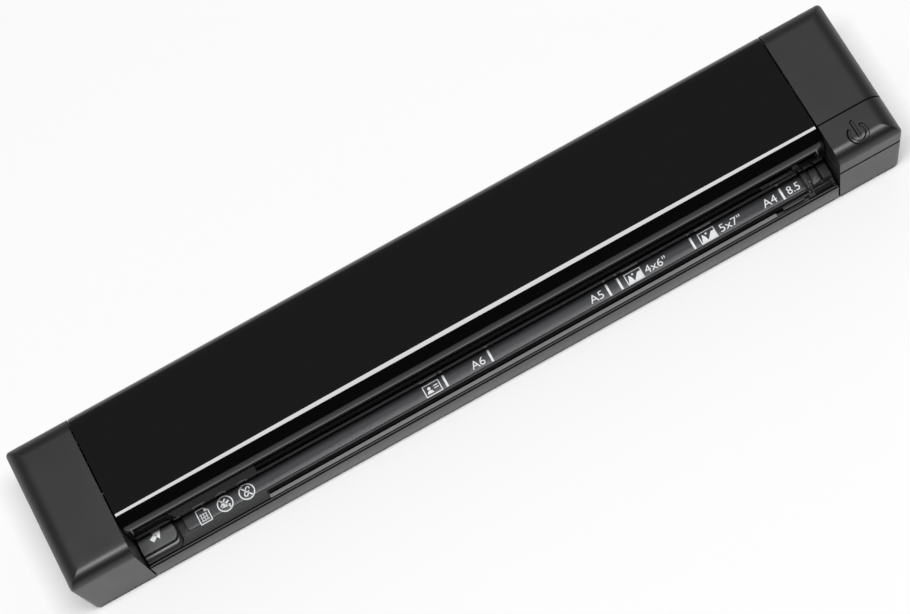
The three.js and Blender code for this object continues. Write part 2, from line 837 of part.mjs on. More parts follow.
// A rib across the channel, low in front where the paper guide's keel passes and notched
// for both shafts.
const keelFloorZ = channelUndersideZ - seatGap - keelFlangeThickness - seatGap;
const notchHalf = shaftRadius + ribNotchGap;
const notchLowZ = driveAxisZ - notchHalf;
const notch = (axisPlace) => [
  [axisPlace + notchHalf, rearLedgeZ, 0],
  [axisPlace + notchHalf, notchLowZ, notchHalf / 2],
  [axisPlace - notchHalf, notchLowZ, notchHalf / 2],
  [axisPlace - notchHalf, rearLedgeZ, 0],
];
const ribOutline = [
  [baseFloorFrontY - seatGap, floorZ - seatGap, 0],
  [baseFloorRearY + seatGap, floorZ - seatGap, 0],
  [rearLipY - guideLedge + seatGap, rearLedgeZ, 0],
  ...notch(exitAxisY),
  ...notch(feedAxisY),
  [guideChannelRearY + seatGap, rearLedgeZ, 0],
  [guideChannelRearY + seatGap, keelFloorZ, 0],
  [baseFloorFrontY - seatGap, keelFloorZ, 0],
];
const ribs = ribStationShares.map((share) => {
  const x = alongMiddle(share);
  return prism("x", roundedShape(ribOutline, smallSteps), x - ribThickness / 2, x + ribThickness / 2);
});
const footPlaces = [
  [-footX, -footY],
  [-footX, footY],
  [footX, -footY],
  [footX, footY],
];
const footRecesses = footPlaces.map((place) =>
  rod("z", footRadius + seatGap, place, undersideZ - overrun, undersideZ + footRecessDepth),
);
const baseChannel = prism("x", roundedShape(baseOutline), -midHalf, midHalf);
addPiece(scanner, "base_housing", cut(union([baseChannel, ...ribs]), footRecesses), finishes.basePlastic());

const footSolid = rod("z", footRadius, [0, 0], 0, undersideZ + footRecessDepth - seatGap);
footPlaces.forEach(([x, y], index) => {
  addPiece(scanner, `foot_${index + 1}`, footSolid, finishes.rubber(), [x, y, 0]);
});

// Lower paper guide: the tray in front and the plate under the paper behind
const guideInnerHalf = frameInnerX - seatGap;
const guidePlan = [
  [-guideHalf, guideFrontY, 0],
  [guideHalf, guideFrontY, 0],
  [guideHalf, guideNeckY, 0],
  [guideInnerHalf, guideNeckY, 0],
  [guideInnerHalf, guideRearY, 0],
  [-guideInnerHalf, guideRearY, 0],
  [-guideInnerHalf, guideNeckY, 0],
  [-guideHalf, guideNeckY, 0],
];
const grooveFloorZ = trayHeight - grooveDepth;
const grooveLedgeZ = trayHeight - grooveLedgeDrop;
const ledgeOutline = [
  [grooveFrontY, grooveLedgeZ - grooveLedgeFall, 0],
  [grooveLedgeY + fitGap, grooveLedgeZ, 0],
  [grooveLedgeY + fitGap, trayHeight + overrun, 0],
  [grooveFrontY, trayHeight + overrun, 0],
];
const grooveLedge = prism("x", roundedShape(ledgeOutline), grooveLeftX, grooveRightX);
const slot = block(
  grooveLeftX,
  slotRightX,
  grooveLedgeY,
  grooveRearY,
  grooveFloorZ,
  trayHeight + overrun,
);
const pocket = block(
  midHalf - pocketLeftInset,
  midHalf - pocketRightInset,
  grooveFrontY,
  grooveRearY,
  grooveFloorZ,
  trayHeight + overrun,
);
const keelSlot = block(
  grooveLeftX + keelSlotInset,
  slotRightX - keelSlotInset,
  keelMidY - keelSlotWidth / 2,
  keelMidY + keelSlotWidth / 2,
  channelUndersideZ - overrun,
  grooveFloorZ + overrun,
);
const stripLeftX = stripLeftInset - midHalf;
const stripRightX = midHalf - stripRightInset;
const stripFrontY = grooveRearY + stripFrontGap;
const stripRearY = coverFrontY + stripUnderCover;
const stripPlan = (gap) =>
  roundedShape(
    rectangle(stripLeftX - gap, stripRightX + gap, stripFrontY - gap, stripRearY + gap, stripCornerRadius),
  );
const stripRecessZ = trayHeight - stripThickness - seatGap;
const stripRecess = prism("z", stripPlan(fitGap), stripRecessZ, trayHeight + overrun);
const tyreHalfChord = Math.sqrt(tyreRadius ** 2 - (guideUndersideZ - driveAxisZ) ** 2);
const windowAt = (x, y, halfX, halfY) =>
  block(x - halfX, x + halfX, y - halfY, y + halfY, guideUndersideZ - overrun, coverRoofZ);
const tyreWindows = [feedAxisY, exitAxisY].flatMap((y) =>
  rollerStations.map((x) => windowAt(x, y, tyreLength / 2 + windowGap, tyreHalfChord + windowGap)),
);
const platenWidth = sensorWidth - 2 * platenRebate;
const platenHalf = platenWidth / 2 + fitGap;
const platenPocket = block(
  sensorLeftX - fitGap,
  sensorRightX + fitGap,
  sensorMidY - platenHalf,
  sensorMidY + platenHalf,
  trayHeight - platenThickness - seatGap,
  trayHeight + overrun,
);
const leverSlotHalf = leverArmWidth / 2 + windowGap;
const leverSlot = block(
  leverX - leverSlotHalf,
  leverX + leverSlotHalf,
  upperPlateFrontY - overrun / 2,
  leverSlotRearY,
  guideUndersideZ - overrun,
  upperPlateTopZ + overrun,
);
const plateauFrontY = guideFrontY + plateauFrontInset;
const plateauOutline = [
  [plateauFrontY, trayHeight - seatGap, 0],
  [trayRearY, trayHeight - seatGap, 0],
  [trayRearY, trayHeight + plateauHeight, 0],
  [plateauFrontY, trayHeight + plateauHeight, plateauHeight / 2],
];
const plateau = prism("x", roundedShape(plateauOutline), guideHalf - plateauWidth, guideHalf);
const guidePlate = prism("z", roundedShape(guidePlan), guideUndersideZ, trayHeight);
const guideChannel = block(
  -guideHalf,
  guideHalf,
  guideFrontY,
  guideChannelRearY,
  channelUndersideZ,
  guideUndersideZ + seatGap,
);
const lowerGuide = cut(guidePlate.add(guideChannel), [
  grooveLedge,
  slot,
  pocket,
  keelSlot,
  stripRecess,
  platenPocket,
  leverSlot,
  ...tyreWindows,
]).add(plateau);
addPiece(scanner, "lower_guide", lowerGuide, finishes.traySatin());

const stripSolid = prism("z", stripPlan(0), trayHeight - stripThickness, trayHeight);
addPiece(scanner, "size_strip", stripSolid, finishes.stripPrint());

const platenSolid = block(
  sensorLeftX,
  sensorRightX,
  sensorMidY - platenWidth / 2,
  sensorMidY + platenWidth / 2,
  trayHeight - platenThickness,
  trayHeight,
);
addPiece(scanner, "white_platen", platenSolid, finishes.whitePlastic());

// Left pad: a block whose inner side slopes to the tray and whose front steps down to the lip
const padLowZ = trayHeight + seatGap;
const padTopZ = trayHeight + padHeight;
const padInnerX = padInset - midHalf;
const padFrontY = guideFrontY + padToeInset;
const padBrowY = guideFrontY + padBrowInset;
const padSideView = [
  [-guideHalf, padLowZ, 0],
  [padInnerX, padLowZ, 0],
  [padInnerX - padSideSlope, padTopZ, padBrowDrop],
  [-guideHalf, padTopZ, 0],
];
const padEndView = [
  [padFrontY, padLowZ, 0],
  [trayRearY, padLowZ, 0],
  [trayRearY, padTopZ, 0],
  [padBrowY, padTopZ, padToeHeight],
  [padBrowY, padTopZ - padBrowDrop, 0],
  [padFrontY, padLowZ + padToeHeight, padToeHeight / 2],
];
const padSolid = prism("y", roundedShape(padSideView), padFrontY - overrun, trayRearY + overrun).intersect(
  prism("x", roundedShape(padEndView), -guideHalf - overrun, padInnerX + overrun),
);
addPiece(scanner, "left_pad", padSolid, finishes.traySatin());

// Paper guide: a tapered fence with a finger tile, a foot in the groove and a keel under it
const fenceLowZ = trayHeight + seatGap;
const fenceLeftX = midHalf - fenceInset;
const fenceRearY = coverFrontY - fenceRearGap;
const fenceFrontY = guideFrontY + fenceFrontInset;
const fencePlan = [
  [fenceLeftX, fenceRearY, 0],
  [fenceLeftX, fenceFrontY, 0],
  [fenceLeftX + fenceFrontWidth, fenceFrontY, 0],
  [fenceLeftX + fenceRearWidth, fenceRearY, 0],
];
const fence = prism("z", roundedShape(fencePlan), fenceLowZ, fenceLowZ + fenceHeight);
const tileLeftX = fenceLeftX + tileOffset;
const tileRightX = tileLeftX + tileLength;
const tileRearY = coverFrontY - tileRearGap;
const tileFrontY = guideFrontY + tileFrontInset;
const tilePlan = rectangle(tileLeftX, tileRightX, tileFrontY, tileRearY, tileCornerRadius);
const tileStem = block(
  fenceLeftX + fenceFrontWidth / 2,
  tileLeftX + tileCornerRadius,
  tileFrontY + tileCornerRadius,
  tileRearY - tileCornerRadius,
  fenceLowZ,
  fenceLowZ + tileHeight / 2,
);
const tile = prism("z", roundedShape(tilePlan), fenceLowZ, fenceLowZ + tileHeight);
const footLowZ = grooveFloorZ + seatGap;
const footTopZ = trayHeight - footDrop;
const footRightX = slotRightX - seatGap;
const footLeftX = footRightX - footLength;
const footFrontY = grooveLedgeY + fitGap;
const footRearY = grooveRearY - fitGap;
const sliderFoot = block(footLeftX, footRightX, footFrontY, footRearY, footLowZ, footTopZ);
const keelWidth = keelSlotWidth - 2 * fitGap;
const keelLowZ = channelUndersideZ - seatGap - keelFlangeThickness;
const keel = block(
  footLeftX + keelSlotInset,
  footRightX - keelSlotInset,
  keelMidY - keelWidth / 2,
  keelMidY + keelWidth / 2,
  keelLowZ,
  footLowZ + seatGap,
);
const keelFlange = block(
  footLeftX + keelSlotInset,
  footRightX - keelSlotInset,
  keelMidY - keelFlangeWidth / 2,
  keelMidY + keelFlangeWidth / 2,
  keelLowZ,
  keelLowZ + keelFlangeThickness,
);
const fenceNeck = block(
  fenceLeftX,
  footRightX,
  fenceFrontY,
  footRearY,
  footLowZ,
  fenceLowZ + seatGap,
);
addPiece(
  scanner,
  "paper_guide",
  union([fence, tileStem, tile, sliderFoot, keel, keelFlange, fenceNeck]),
  finishes.blackPlastic(),
);

// Driven rollers: a steel shaft with a clip groove near each end, and rubber tyres on it.
// A turned piece lies along X: each profile point is [distance along, radius].
function turned(profile, sides = roundSides) {
  const points = profile.map(([along, radius]) => new THREE.Vector2(radius, along));
  const geometry = new THREE.LatheGeometry(points, sides);
  const lay = new THREE.Matrix4().makeBasis(axisY, axisX, axisZ.clone().negate());
  return toSolid(geometry.applyMatrix4(lay));
}

function shaftSolid(radius, low, high) {
  const inset = clipGrooveInset;
  const waist = radius - clipGrooveDepth;
  return turned([
    [low, 0],
    [low, radius],
    [low + inset, radius],
    [low + inset, waist],
    [low + inset + clipGrooveWidth, waist],
    [low + inset + clipGrooveWidth, radius],
    [high - inset - clipGrooveWidth, radius],
    [high - inset - clipGrooveWidth, waist],
    [high - inset, waist],
    [high - inset, radius],
    [high, radius],
    [high, 0],
  ]);
}

function sleeve(outerRadius, innerRadius, gap, low, high) {
  return rod("x", outerRadius, [0, 0], low, high).subtract(bore("x", innerRadius, gap, [0, 0], low, high));
}

const tyreSolid = sleeve(tyreRadius, shaftRadius, fitGap, -tyreLength / 2, tyreLength / 2);
const pinchSolid = sleeve(pinchRadius, pinchShaftRadius, fitGap, -pinchLength / 2, pinchLength / 2);

function rollerGroup(name, y, z, shaft, roller, rollerName, rollerFinish) {
  const group = new THREE.Group();
  group.position.set(0, y, z);
  addPiece(group, `${name}_shaft`, shaft, finishes.steel());
  rollerStations.forEach((x, index) => {
    addPiece(group, `${name}_${rollerName}_${index + 1}`, roller, rollerFinish(), [x, 0, 0]);
  });
  scanner.add(group);
  return group;
}

const drivenShaft = shaftSolid(shaftRadius, shaftLeftX, shaftRightX);
const pinchShaft = turned([
  [-pinchShaftHalf, 0],
  [-pinchShaftHalf, pinchShaftRadius],
  [pinchShaftHalf, pinchShaftRadius],
  [pinchShaftHalf, 0],
], smallSides);
const feedGroup = rollerGroup("feed", feedAxisY, driveAxisZ, drivenShaft, tyreSolid, "tyre", finishes.rubber);
const exitGroup = rollerGroup("exit", exitAxisY, driveAxisZ, drivenShaft, tyreSolid, "tyre", finishes.rubber);
rollerGroup("feed_pinch", feedAxisY, pinchAxisZ, pinchShaft, pinchSolid, "roller", finishes.blackPlastic);
rollerGroup("exit_pinch", exitAxisY, pinchAxisZ, pinchShaft, pinchSolid, "roller", finishes.blackPlastic);

// Side frames of folded steel, and the flanged bushes in them
const frameLowZ = floorZ + seatGap;
const ribbonNotch = block(
  frameInnerX - overrun,
  frameOuterX + overrun,
  sensorMidY - ribbonWidth / 2 - seatGap,
  sensorMidY + ribbonWidth / 2 + seatGap,
  sensorTopZ - seatGap,
  frameTopZ + overrun,
);

function sideFrame(side) {
  const outline = roundedShape(
    rectangle(frameFrontY, frameRearY, frameLowZ, frameTopZ).map(([y, z]) => [
      y,
      z,
      z === frameTopZ ? frameCornerRadius : 0,
    ]),
  );
  const inner = side * frameInnerX;
  const outer = side * frameOuterX;
  const web = prism("x", outline, Math.min(inner, outer), Math.max(inner, outer));
  const flange = sideBlock(
    side,
    frameInnerX - frameFlangeDepth,
    frameInnerX + frameThickness / 2,
    feedAxisY,
    exitAxisY,
    frameLowZ,
    frameLowZ + frameThickness,
  );
  const holes = [feedAxisY, exitAxisY].map((y) =>
    bore("x", bushOuterRadius, fitGap, [y, driveAxisZ], Math.min(inner, outer), Math.max(inner, outer)),
  );
  return cut(web.add(flange), holes);
}
addPiece(scanner, "left_side_frame", sideFrame(-1), finishes.steel());

// The right frame reaches into its cap with a tongue and a strap over the two screws.
const strapTongue = block(
  frameInnerX,
  screwX + strapWidth / 2,
  feedAxisY + bushFlangeRadius + strapTongueGap,
  exitAxisY - bushFlangeRadius - strapTongueGap,
  bracketLowZ,
  bracketLowZ + bracketThickness,
);
const strap = block(
  screwX - strapWidth / 2,
  screwX + strapWidth / 2,
  -bracketHalf,
  bracketHalf,
  bracketLowZ,
  bracketLowZ + bracketThickness,
);
const screwHoles = (places) =>
  places.map((place) =>
    bore("z", screwShankRadius, fitGap, place, bracketLowZ, bracketLowZ + bracketThickness, smallSides),
  );
const rightFrame = cut(union([sideFrame(1), strapTongue, strap]), [
  ribbonNotch,
  ...screwHoles(screwPlaces.slice(2)),
]);
addPiece(scanner, "right_side_frame", rightFrame, finishes.steel());

// A bush stands against the outer side of its frame with its flange, and its body fills the hole.
function bushSolid(side) {
  const flangeInner = frameOuterX + seatGap;
  const [flangeLow, flangeHigh] = side > 0 ? [flangeInner, bushOuterX] : [-bushOuterX, -flangeInner];
  const [bodyLow, bodyHigh] = side > 0 ? [frameInnerX, bushOuterX] : [-bushOuterX, -frameInnerX];
  const flange = rod("x", bushFlangeRadius, [0, 0], flangeLow, flangeHigh);
  const body = rod("x", bushOuterRadius, [0, 0], bodyLow, bodyHigh);
  return flange.add(body).subtract(bore("x", shaftRadius, runningGap, [0, 0], bodyLow, bodyHigh));
}
[feedAxisY, exitAxisY].forEach((y) => {
  const name = y === feedAxisY ? "feed" : "exit";
  addPiece(scanner, `${name}_bush_left`, bushSolid(-1), finishes.blackPlastic(), [0, y, driveAxisZ]);
  addPiece(scanner, `${name}_bush_right`, bushSolid(1), finishes.blackPlastic(), [0, y, driveAxisZ]);
});

// Upper paper guide: a plate with walls beside the sensor and ears for the pinch shafts
const sensorWindow = block(
  sensorLeftX - sensorSideGap,
  sensorRightX + sensorSideGap,
  sensorFrontY - sensorSideGap,
  sensorRearY + sensorSideGap,
  coverFrontLowZ - overrun,
  coverRoofZ,
);
const sensorWallYs = [sensorFrontY - sensorSideGap - sensorWallThickness, sensorRearY + sensorSideGap];
const sensorWalls = sensorWallYs.map((y) =>
  block(
    sensorLeftX - sensorSideGap,
    sensorRightX + sensorSideGap,
    y,
    y + sensorWallThickness,
    coverFrontLowZ,
    upperPlateTopZ + sensorWallHeight,
  ),
);
const pinchHalfChord = Math.sqrt(pinchRadius ** 2 - (pinchAxisZ - upperPlateTopZ) ** 2);
const pinchWindows = [feedAxisY, exitAxisY].flatMap((y) =>
  rollerStations.map((x) => windowAt(x, y, pinchLength / 2 + windowGap, pinchHalfChord + seatGap)),
);
const pinchEars = [feedAxisY, exitAxisY].flatMap((y) =>
  earStations.map((x) => {
    const crown = [
      [y - earHalfWidth, coverFrontLowZ + seatGap, 0],
      [y + earHalfWidth, coverFrontLowZ + seatGap, 0],
      [y + earHalfWidth, pinchAxisZ + earCrown, earHalfWidth / 2],
      [y - earHalfWidth, pinchAxisZ + earCrown, earHalfWidth / 2],
    ];
    const low = x - earThickness / 2;
    const high = x + earThickness / 2;
    const hole = bore("x", pinchShaftRadius, runningGap, [y, pinchAxisZ], low, high, smallSides);
    return prism("x", roundedShape(crown, smallSteps), low, high).subtract(hole);
  }),
);
const leverEars = [-leverEarReach, leverEarReach].map((reach) => {
  const low = leverX + reach - frameThickness / 2;
  const high = leverX + reach + frameThickness / 2;
  const outline = [
    [upperPlateFrontY, coverFrontLowZ + seatGap, 0],
    [leverAxisY + leverHubRadius, coverFrontLowZ + seatGap, 0],
    [leverAxisY + leverHubRadius, leverAxisZ + leverHubRadius, leverHubRadius / 2],
    [upperPlateFrontY, leverAxisZ + leverHubRadius, 0],
  ];
  const hole = bore("x", leverPinRadius, runningGap, [leverAxisY, leverAxisZ], low, high, smallSides);
  return prism("x", roundedShape(outline), low, high).subtract(hole);
});
const upperPlate = block(
  -upperPlateHalf,
  upperPlateHalf,
  upperPlateFrontY,
  upperPlateRearY,
  coverFrontLowZ,
  upperPlateTopZ,
);
const upperGuide = cut(union([upperPlate, ...sensorWalls]), [sensorWindow, leverSlot, ...pinchWindows]);
addPiece(scanner, "upper_guide", union([upperGuide, ...pinchEars, ...leverEars]), finishes.blackPlastic());

// Paper lever: a flag on a pin, hanging through the plate into a slot of the tray
const leverArmHalf = leverArmWidth / 2;
const leverHubHalf = leverEarReach - frameThickness / 2 - seatGap;
const leverArm = block(
  -leverArmHalf,
  leverArmHalf,
  -leverArmThickness / 2,
  leverArmThickness / 2,
  trayHeight - leverDip - leverAxisZ,
  leverTail,
);
const leverHub = rod("x", leverHubRadius, [0, 0], -leverHubHalf, leverHubHalf, smallSides);
const leverPinHalf = leverEarReach + frameThickness / 2;
const leverPin = rod("x", leverPinRadius, [0, 0], -leverPinHalf, leverPinHalf, smallSides);
addPiece(scanner, "paper_lever", union([leverArm, leverHub, leverPin]), finishes.whitePlastic(), [
  leverX,
  leverAxisY,
  leverAxisZ,
]);

// Image sensor: housing, glass, rod lens array, light guide and sensor board
const sensorInnerLeft = sensorLeftX + sensorEndWall;
const sensorInnerRight = sensorRightX - sensorEndWall;
const sensorBay = (midY, width, lowZ, highZ, gap) =>
  block(
    sensorInnerLeft - gap,
    sensorInnerRight + gap,
    midY - width / 2 - gap,
    midY + width / 2 + gap,
    lowZ,
    highZ,
  );
const glassWidth = sensorWidth - 2 * glassRebate;
const boardWidth = sensorWidth - 2 * boardRebate;
const glassTopZ = sensorUndersideZ + glassThickness;
const lightLowZ = glassTopZ + 2 * seatGap;
const lensLowZ = sensorUndersideZ + lensLift;
const lightMidY = sensorMidY + lightOffset;
const sensorTabs = [sensorLeftX - sensorTabLength, sensorRightX - fitGap].map((x) =>
  block(
    x,
    x + sensorTabLength + fitGap,
    sensorFrontY + sensorTabLength,
    sensorRearY - sensorTabLength,
    upperPlateTopZ + seatGap,
    upperPlateTopZ + seatGap + sensorTabHeight,
  ),
);
const sensorBar = block(sensorLeftX, sensorRightX, sensorFrontY, sensorRearY, sensorUndersideZ, sensorTopZ);
const sensorHousing = cut(union([sensorBar, ...sensorTabs]), [
  sensorBay(sensorMidY, glassWidth, sensorUndersideZ - overrun, glassTopZ + seatGap, fitGap),
  sensorBay(sensorMidY, lensWidth, glassTopZ, sensorTopZ, fitGap),
  sensorBay(lightMidY, lightWidth, glassTopZ, lightLowZ + lightHeight + seatGap, fitGap),
  sensorBay(sensorMidY, boardWidth, sensorBoardZ - seatGap, sensorTopZ + overrun, fitGap),
]);
const sensor = new THREE.Group();
addPiece(sensor, "sensor_housing", sensorHousing, finishes.blackPlastic());
addPiece(
  sensor,
  "sensor_glass",
  sensorBay(sensorMidY, glassWidth, sensorUndersideZ, glassTopZ, 0),
  finishes.glass(),
);
addPiece(
  sensor,
  "rod_lens_array",
  sensorBay(sensorMidY, lensWidth, lensLowZ, lensLowZ + lensHeight, 0),
  finishes.blackPlastic(),
);
addPiece(
  sensor,
  "light_guide",
  sensorBay(lightMidY, lightWidth, lightLowZ, lightLowZ + lightHeight, 0),
  finishes.glass(),
);
const sensorPlug = block(
  sensorInnerRight - sensorPlugLength - sensorEndWall,
  sensorInnerRight - sensorEndWall,
  sensorMidY - ribbonWidth / 2,
  sensorMidY + ribbonWidth / 2,
  sensorBoardZ,
  sensorBoardZ + boardThickness + sensorPlugHeight,
);
const sensorStrip = sensorBay(sensorMidY, boardWidth, sensorBoardZ, sensorBoardZ + boardThickness, 0);
addPiece(sensor, "sensor_board", sensorStrip.add(sensorPlug), finishes.circuit());
scanner.add(sensor);

// Springs between the sensor board and the roof of the cover
class CoilCurve extends THREE.Curve {
  constructor(radius, height, turns) {
    super();
    Object.assign(this, { radius, height, turns });
  }

  getPoint(share, target = new THREE.Vector3()) {
    const turn = share * this.turns * 2 * Math.PI;
    return target.set(this.radius * Math.cos(turn), this.radius * Math.sin(turn), share * this.height);
  }
}
const springLowZ = sensorBoardZ + boardThickness + seatGap + springWireRadius;
const springHighZ = coverRoofZ - seatGap - springWireRadius;
const coil = new CoilCurve(springRadius, springHighZ - springLowZ, springTurns);
const springSolid = toSolid(
  new THREE.ExtrudeGeometry(polygonShape(springWireRadius, springWireSides), {
    steps: springTurns * springStepsPerTurn,
    extrudePath: coil,
  }),
);
springStations.forEach((x, index) => {
  addPiece(scanner, `sensor_spring_${index + 1}`, springSolid, finishes.steel(), [x, sensorMidY, springLowZ]);
});

// Drive train: involute gears, each turned so that its teeth mesh with the one before
function gearShape(teeth, phase) {
  const pitch = (gearModule * teeth) / 2;
  const tip = pitch + gearModule * gearAddendumShare;
  const root = pitch - gearModule * gearDedendumShare;
  const base = pitch * Math.cos(pressureAngle);
  const involute = (radius) => {
    const angle = Math.acos(Math.min(base / radius, 1));
    return Math.tan(angle) - angle;
  };
  const halfTooth = (Math.PI * gearModule - 2 * gearBacklash) / (4 * pitch);
  const flank = [root, pitch, tip].map((radius) => ({
    radius,
    angle: halfTooth + involute(pitch) - involute(Math.max(radius, base)),
  }));
  const outline = [];
  for (let tooth = 0; tooth < teeth; tooth += 1) {
    const middle = phase + (tooth * 2 * Math.PI) / teeth;
    const points = [
      ...flank.map(({ radius, angle }) => [radius, middle - angle]),
      ...flank.toReversed().map(({ radius, angle }) => [radius, middle + angle]),
    ];
    points.forEach(([radius, angle]) => {
      outline.push(new THREE.Vector2(radius * Math.cos(angle), radius * Math.sin(angle)));
    });
  }
  return new THREE.Shape(outline);
}

const centreDistance = (teethA, teethB) => (gearModule * (teethA + teethB)) / 2;
const fromCentre = ([y, z], distance, bearing) => [
  y + distance * Math.cos(bearing),
  z + distance * Math.sin(bearing),
];
const bearingTo = (from, to) => Math.atan2(to[1] - from[1], to[0] - from[0]);

// The phase that puts gear B's gap opposite gear A's tooth, along the bearing from A to B.
function meshPhase(phaseA, teethA, bearing, teethB) {
  return bearing + Math.PI + Math.PI / teethB - ((phaseA - bearing) * teethA) / teethB;
}

const feedCentre = [feedAxisY, driveAxisZ];
const exitCentre = [exitAxisY, driveAxisZ];
const idlerDistance = centreDistance(rollerTeeth, idlerTeeth);
const idlerRise = Math.sqrt(idlerDistance ** 2 - ((exitAxisY - feedAxisY) / 2) ** 2);
const idlerCentre = [sensorMidY, driveAxisZ + idlerRise];
const compoundReach = centreDistance(idlerTeeth, compoundSmallTeeth);
const compoundBearing = Math.PI - Math.asin((compoundAxisZ - idlerCentre[1]) / compoundReach);
const compoundCentre = fromCentre(idlerCentre, compoundReach, compoundBearing);
const pinionReach = centreDistance(compoundLargeTeeth, pinionTeeth);
const pinionBearing = Math.asin((motorAxisZ - compoundAxisZ) / pinionReach);
const pinionCentre = fromCentre(compoundCentre, pinionReach, pinionBearing);
const feedPhase = bearingTo(feedCentre, idlerCentre);
const idlerPhase = meshPhase(feedPhase, rollerTeeth, feedPhase, idlerTeeth);
const exitPhase = meshPhase(idlerPhase, idlerTeeth, bearingTo(idlerCentre, exitCentre), rollerTeeth);
const compoundPhase = meshPhase(idlerPhase, idlerTeeth, compoundBearing, compoundSmallTeeth);
const pinionPhase = meshPhase(0, compoundLargeTeeth, pinionBearing, pinionTeeth);

function gearSolid(teeth, phase, low, high) {
  return prism("x", gearShape(teeth, phase), low, high);
}

const rollerGear = (phase) =>
  gearSolid(rollerTeeth, phase, rollerGearOuterX, rollerGearInnerX).subtract(
    bore("x", shaftRadius, fitGap, [0, 0], rollerGearOuterX, rollerGearInnerX),
  );
addPiece(feedGroup, "feed_gear", rollerGear(feedPhase), finishes.gearPlastic());
addPiece(exitGroup, "exit_gear", rollerGear(exitPhase), finishes.gearPlastic());

const studBore = bore("x", studRadius, runningGap, [0, 0], largeGearOuterX, rollerGearInnerX, smallSides);
const idlerRoot = gearModule * (idlerTeeth / 2 - gearDedendumShare);
const idlerRimRadius = idlerRoot - idlerRimWidth;
const webFaceX = rollerGearOuterX + idlerWebRecess;
const webDisc = rod("x", idlerRimRadius, [0, 0], rollerGearOuterX - overrun, webFaceX);
const webRing = webDisc.subtract(bore("x", idlerHubRadius, 0, [0, 0], rollerGearOuterX, webFaceX));
const webHoleReach = (idlerRimRadius + idlerHubRadius) / 2;
const webHoles = Array.from({ length: idlerHoles }, (_, hole) => {
  const centre = fromCentre([0, 0], webHoleReach, (hole * 2 * Math.PI) / idlerHoles);
  return bore("x", idlerHoleRadius, 0, centre, rollerGearOuterX, rollerGearInnerX, smallSides);
});
const idlerGear = cut(gearSolid(idlerTeeth, idlerPhase, rollerGearOuterX, rollerGearInnerX), [
  studBore,
  webRing,
  ...webHoles,
]);
addPiece(scanner, "idler_gear", idlerGear, finishes.gearPlastic(), [0, ...idlerCentre]);

const compoundGear = gearSolid(compoundSmallTeeth, compoundPhase, largeGearInnerX - seatGap, rollerGearInnerX)
  .add(gearSolid(compoundLargeTeeth, 0, largeGearOuterX, largeGearInnerX))
  .subtract(studBore);
addPiece(scanner, "compound_gear", compoundGear, finishes.gearPlastic(), [0, ...compoundCentre]);

// Gear plate with its studs, its posts and the bracket over the cap's screws, and the motor behind it
const gearPlateInnerX = largeGearOuterX - gearPlateGap;
const gearPlateOuterX = gearPlateInnerX - gearPlateThickness;
const gearPlateOutline = rectangle(
  gearPlateFrontY,
  gearPlateRearY,
  gearPlateLowZ,
  gearPlateTopZ,
  gearPlateCornerRadius,
);
const studs = [idlerCentre, compoundCentre].map((centre) =>
  rod("x", studRadius, centre, gearPlateInnerX - seatGap, rollerGearInnerX + seatGap, smallSides),
);
const postEndX = -(frameOuterX + seatGap);
const platePosts = gearPlatePostShares.map(([shareY, shareZ]) => {
  const y = gearPlateFrontY + shareY * (gearPlateRearY - gearPlateFrontY);
  const z = gearPlateLowZ + shareZ * (gearPlateTopZ - gearPlateLowZ);
  return rod("x", gearPlatePostRadius, [y, z], gearPlateInnerX - seatGap, postEndX, smallSides);
});
const bracketSheet = block(
  gearPlateOuterX,
  gearPlateInnerX,
  -bracketHalf,
  bracketHalf,
  bracketLowZ,
  gearPlateLowZ + gearPlateCornerRadius,
);
const bracketFlange = block(
  gearPlateOuterX - bracketReach,
  gearPlateInnerX,
  -bracketHalf,
  bracketHalf,
  bracketLowZ,
  bracketLowZ + bracketThickness,
);
const bossHole = bore("x", motorBossRadius, fitGap, pinionCentre, gearPlateOuterX, gearPlateInnerX);
const plateSheet = prism("x", roundedShape(gearPlateOutline), gearPlateOuterX, gearPlateInnerX);
const bracket = cut(bracketSheet.add(bracketFlange), screwHoles(screwPlaces.slice(0, 2)));
const gearPlate = union([plateSheet.subtract(bossHole), bracket, ...studs, ...platePosts]);
addPiece(scanner, "gear_plate", gearPlate, finishes.steel());

const motorFaceX = gearPlateOuterX - seatGap;
const motorRearX = shellWall + motorRearGap - endX;
const motorCan = turned([
  [motorRearX, 0],
  [motorRearX, motorRimRadius],
  [motorRearX + motorRimStep, motorRadius],
  [motorFaceX, motorRadius],
  [motorFaceX, motorBossRadius],
  [gearPlateInnerX - fitGap, motorBossRadius],
  [gearPlateInnerX - fitGap, 0],
]);
const motorBore = rod(
  "x",
  boreRadius(motorShaftRadius, runningGap, smallSides),
  [0, 0],
  motorFaceX - motorBoreDepth,
  gearPlateInnerX + overrun,
  smallSides,
);
const motorPlace = [0, ...pinionCentre];
addPiece(scanner, "motor", motorCan.subtract(motorBore), finishes.steel(), motorPlace);

const motorShaft = rod(
  "x",
  motorShaftRadius,
  [0, 0],
  motorFaceX - motorBoreDepth + seatGap,
  largeGearInnerX,
  smallSides,
);
const pinion = gearSolid(pinionTeeth, pinionPhase, largeGearOuterX, largeGearInnerX).add(motorShaft);
addPiece(scanner, "motor_pinion", pinion, finishes.gearPlastic(), motorPlace);

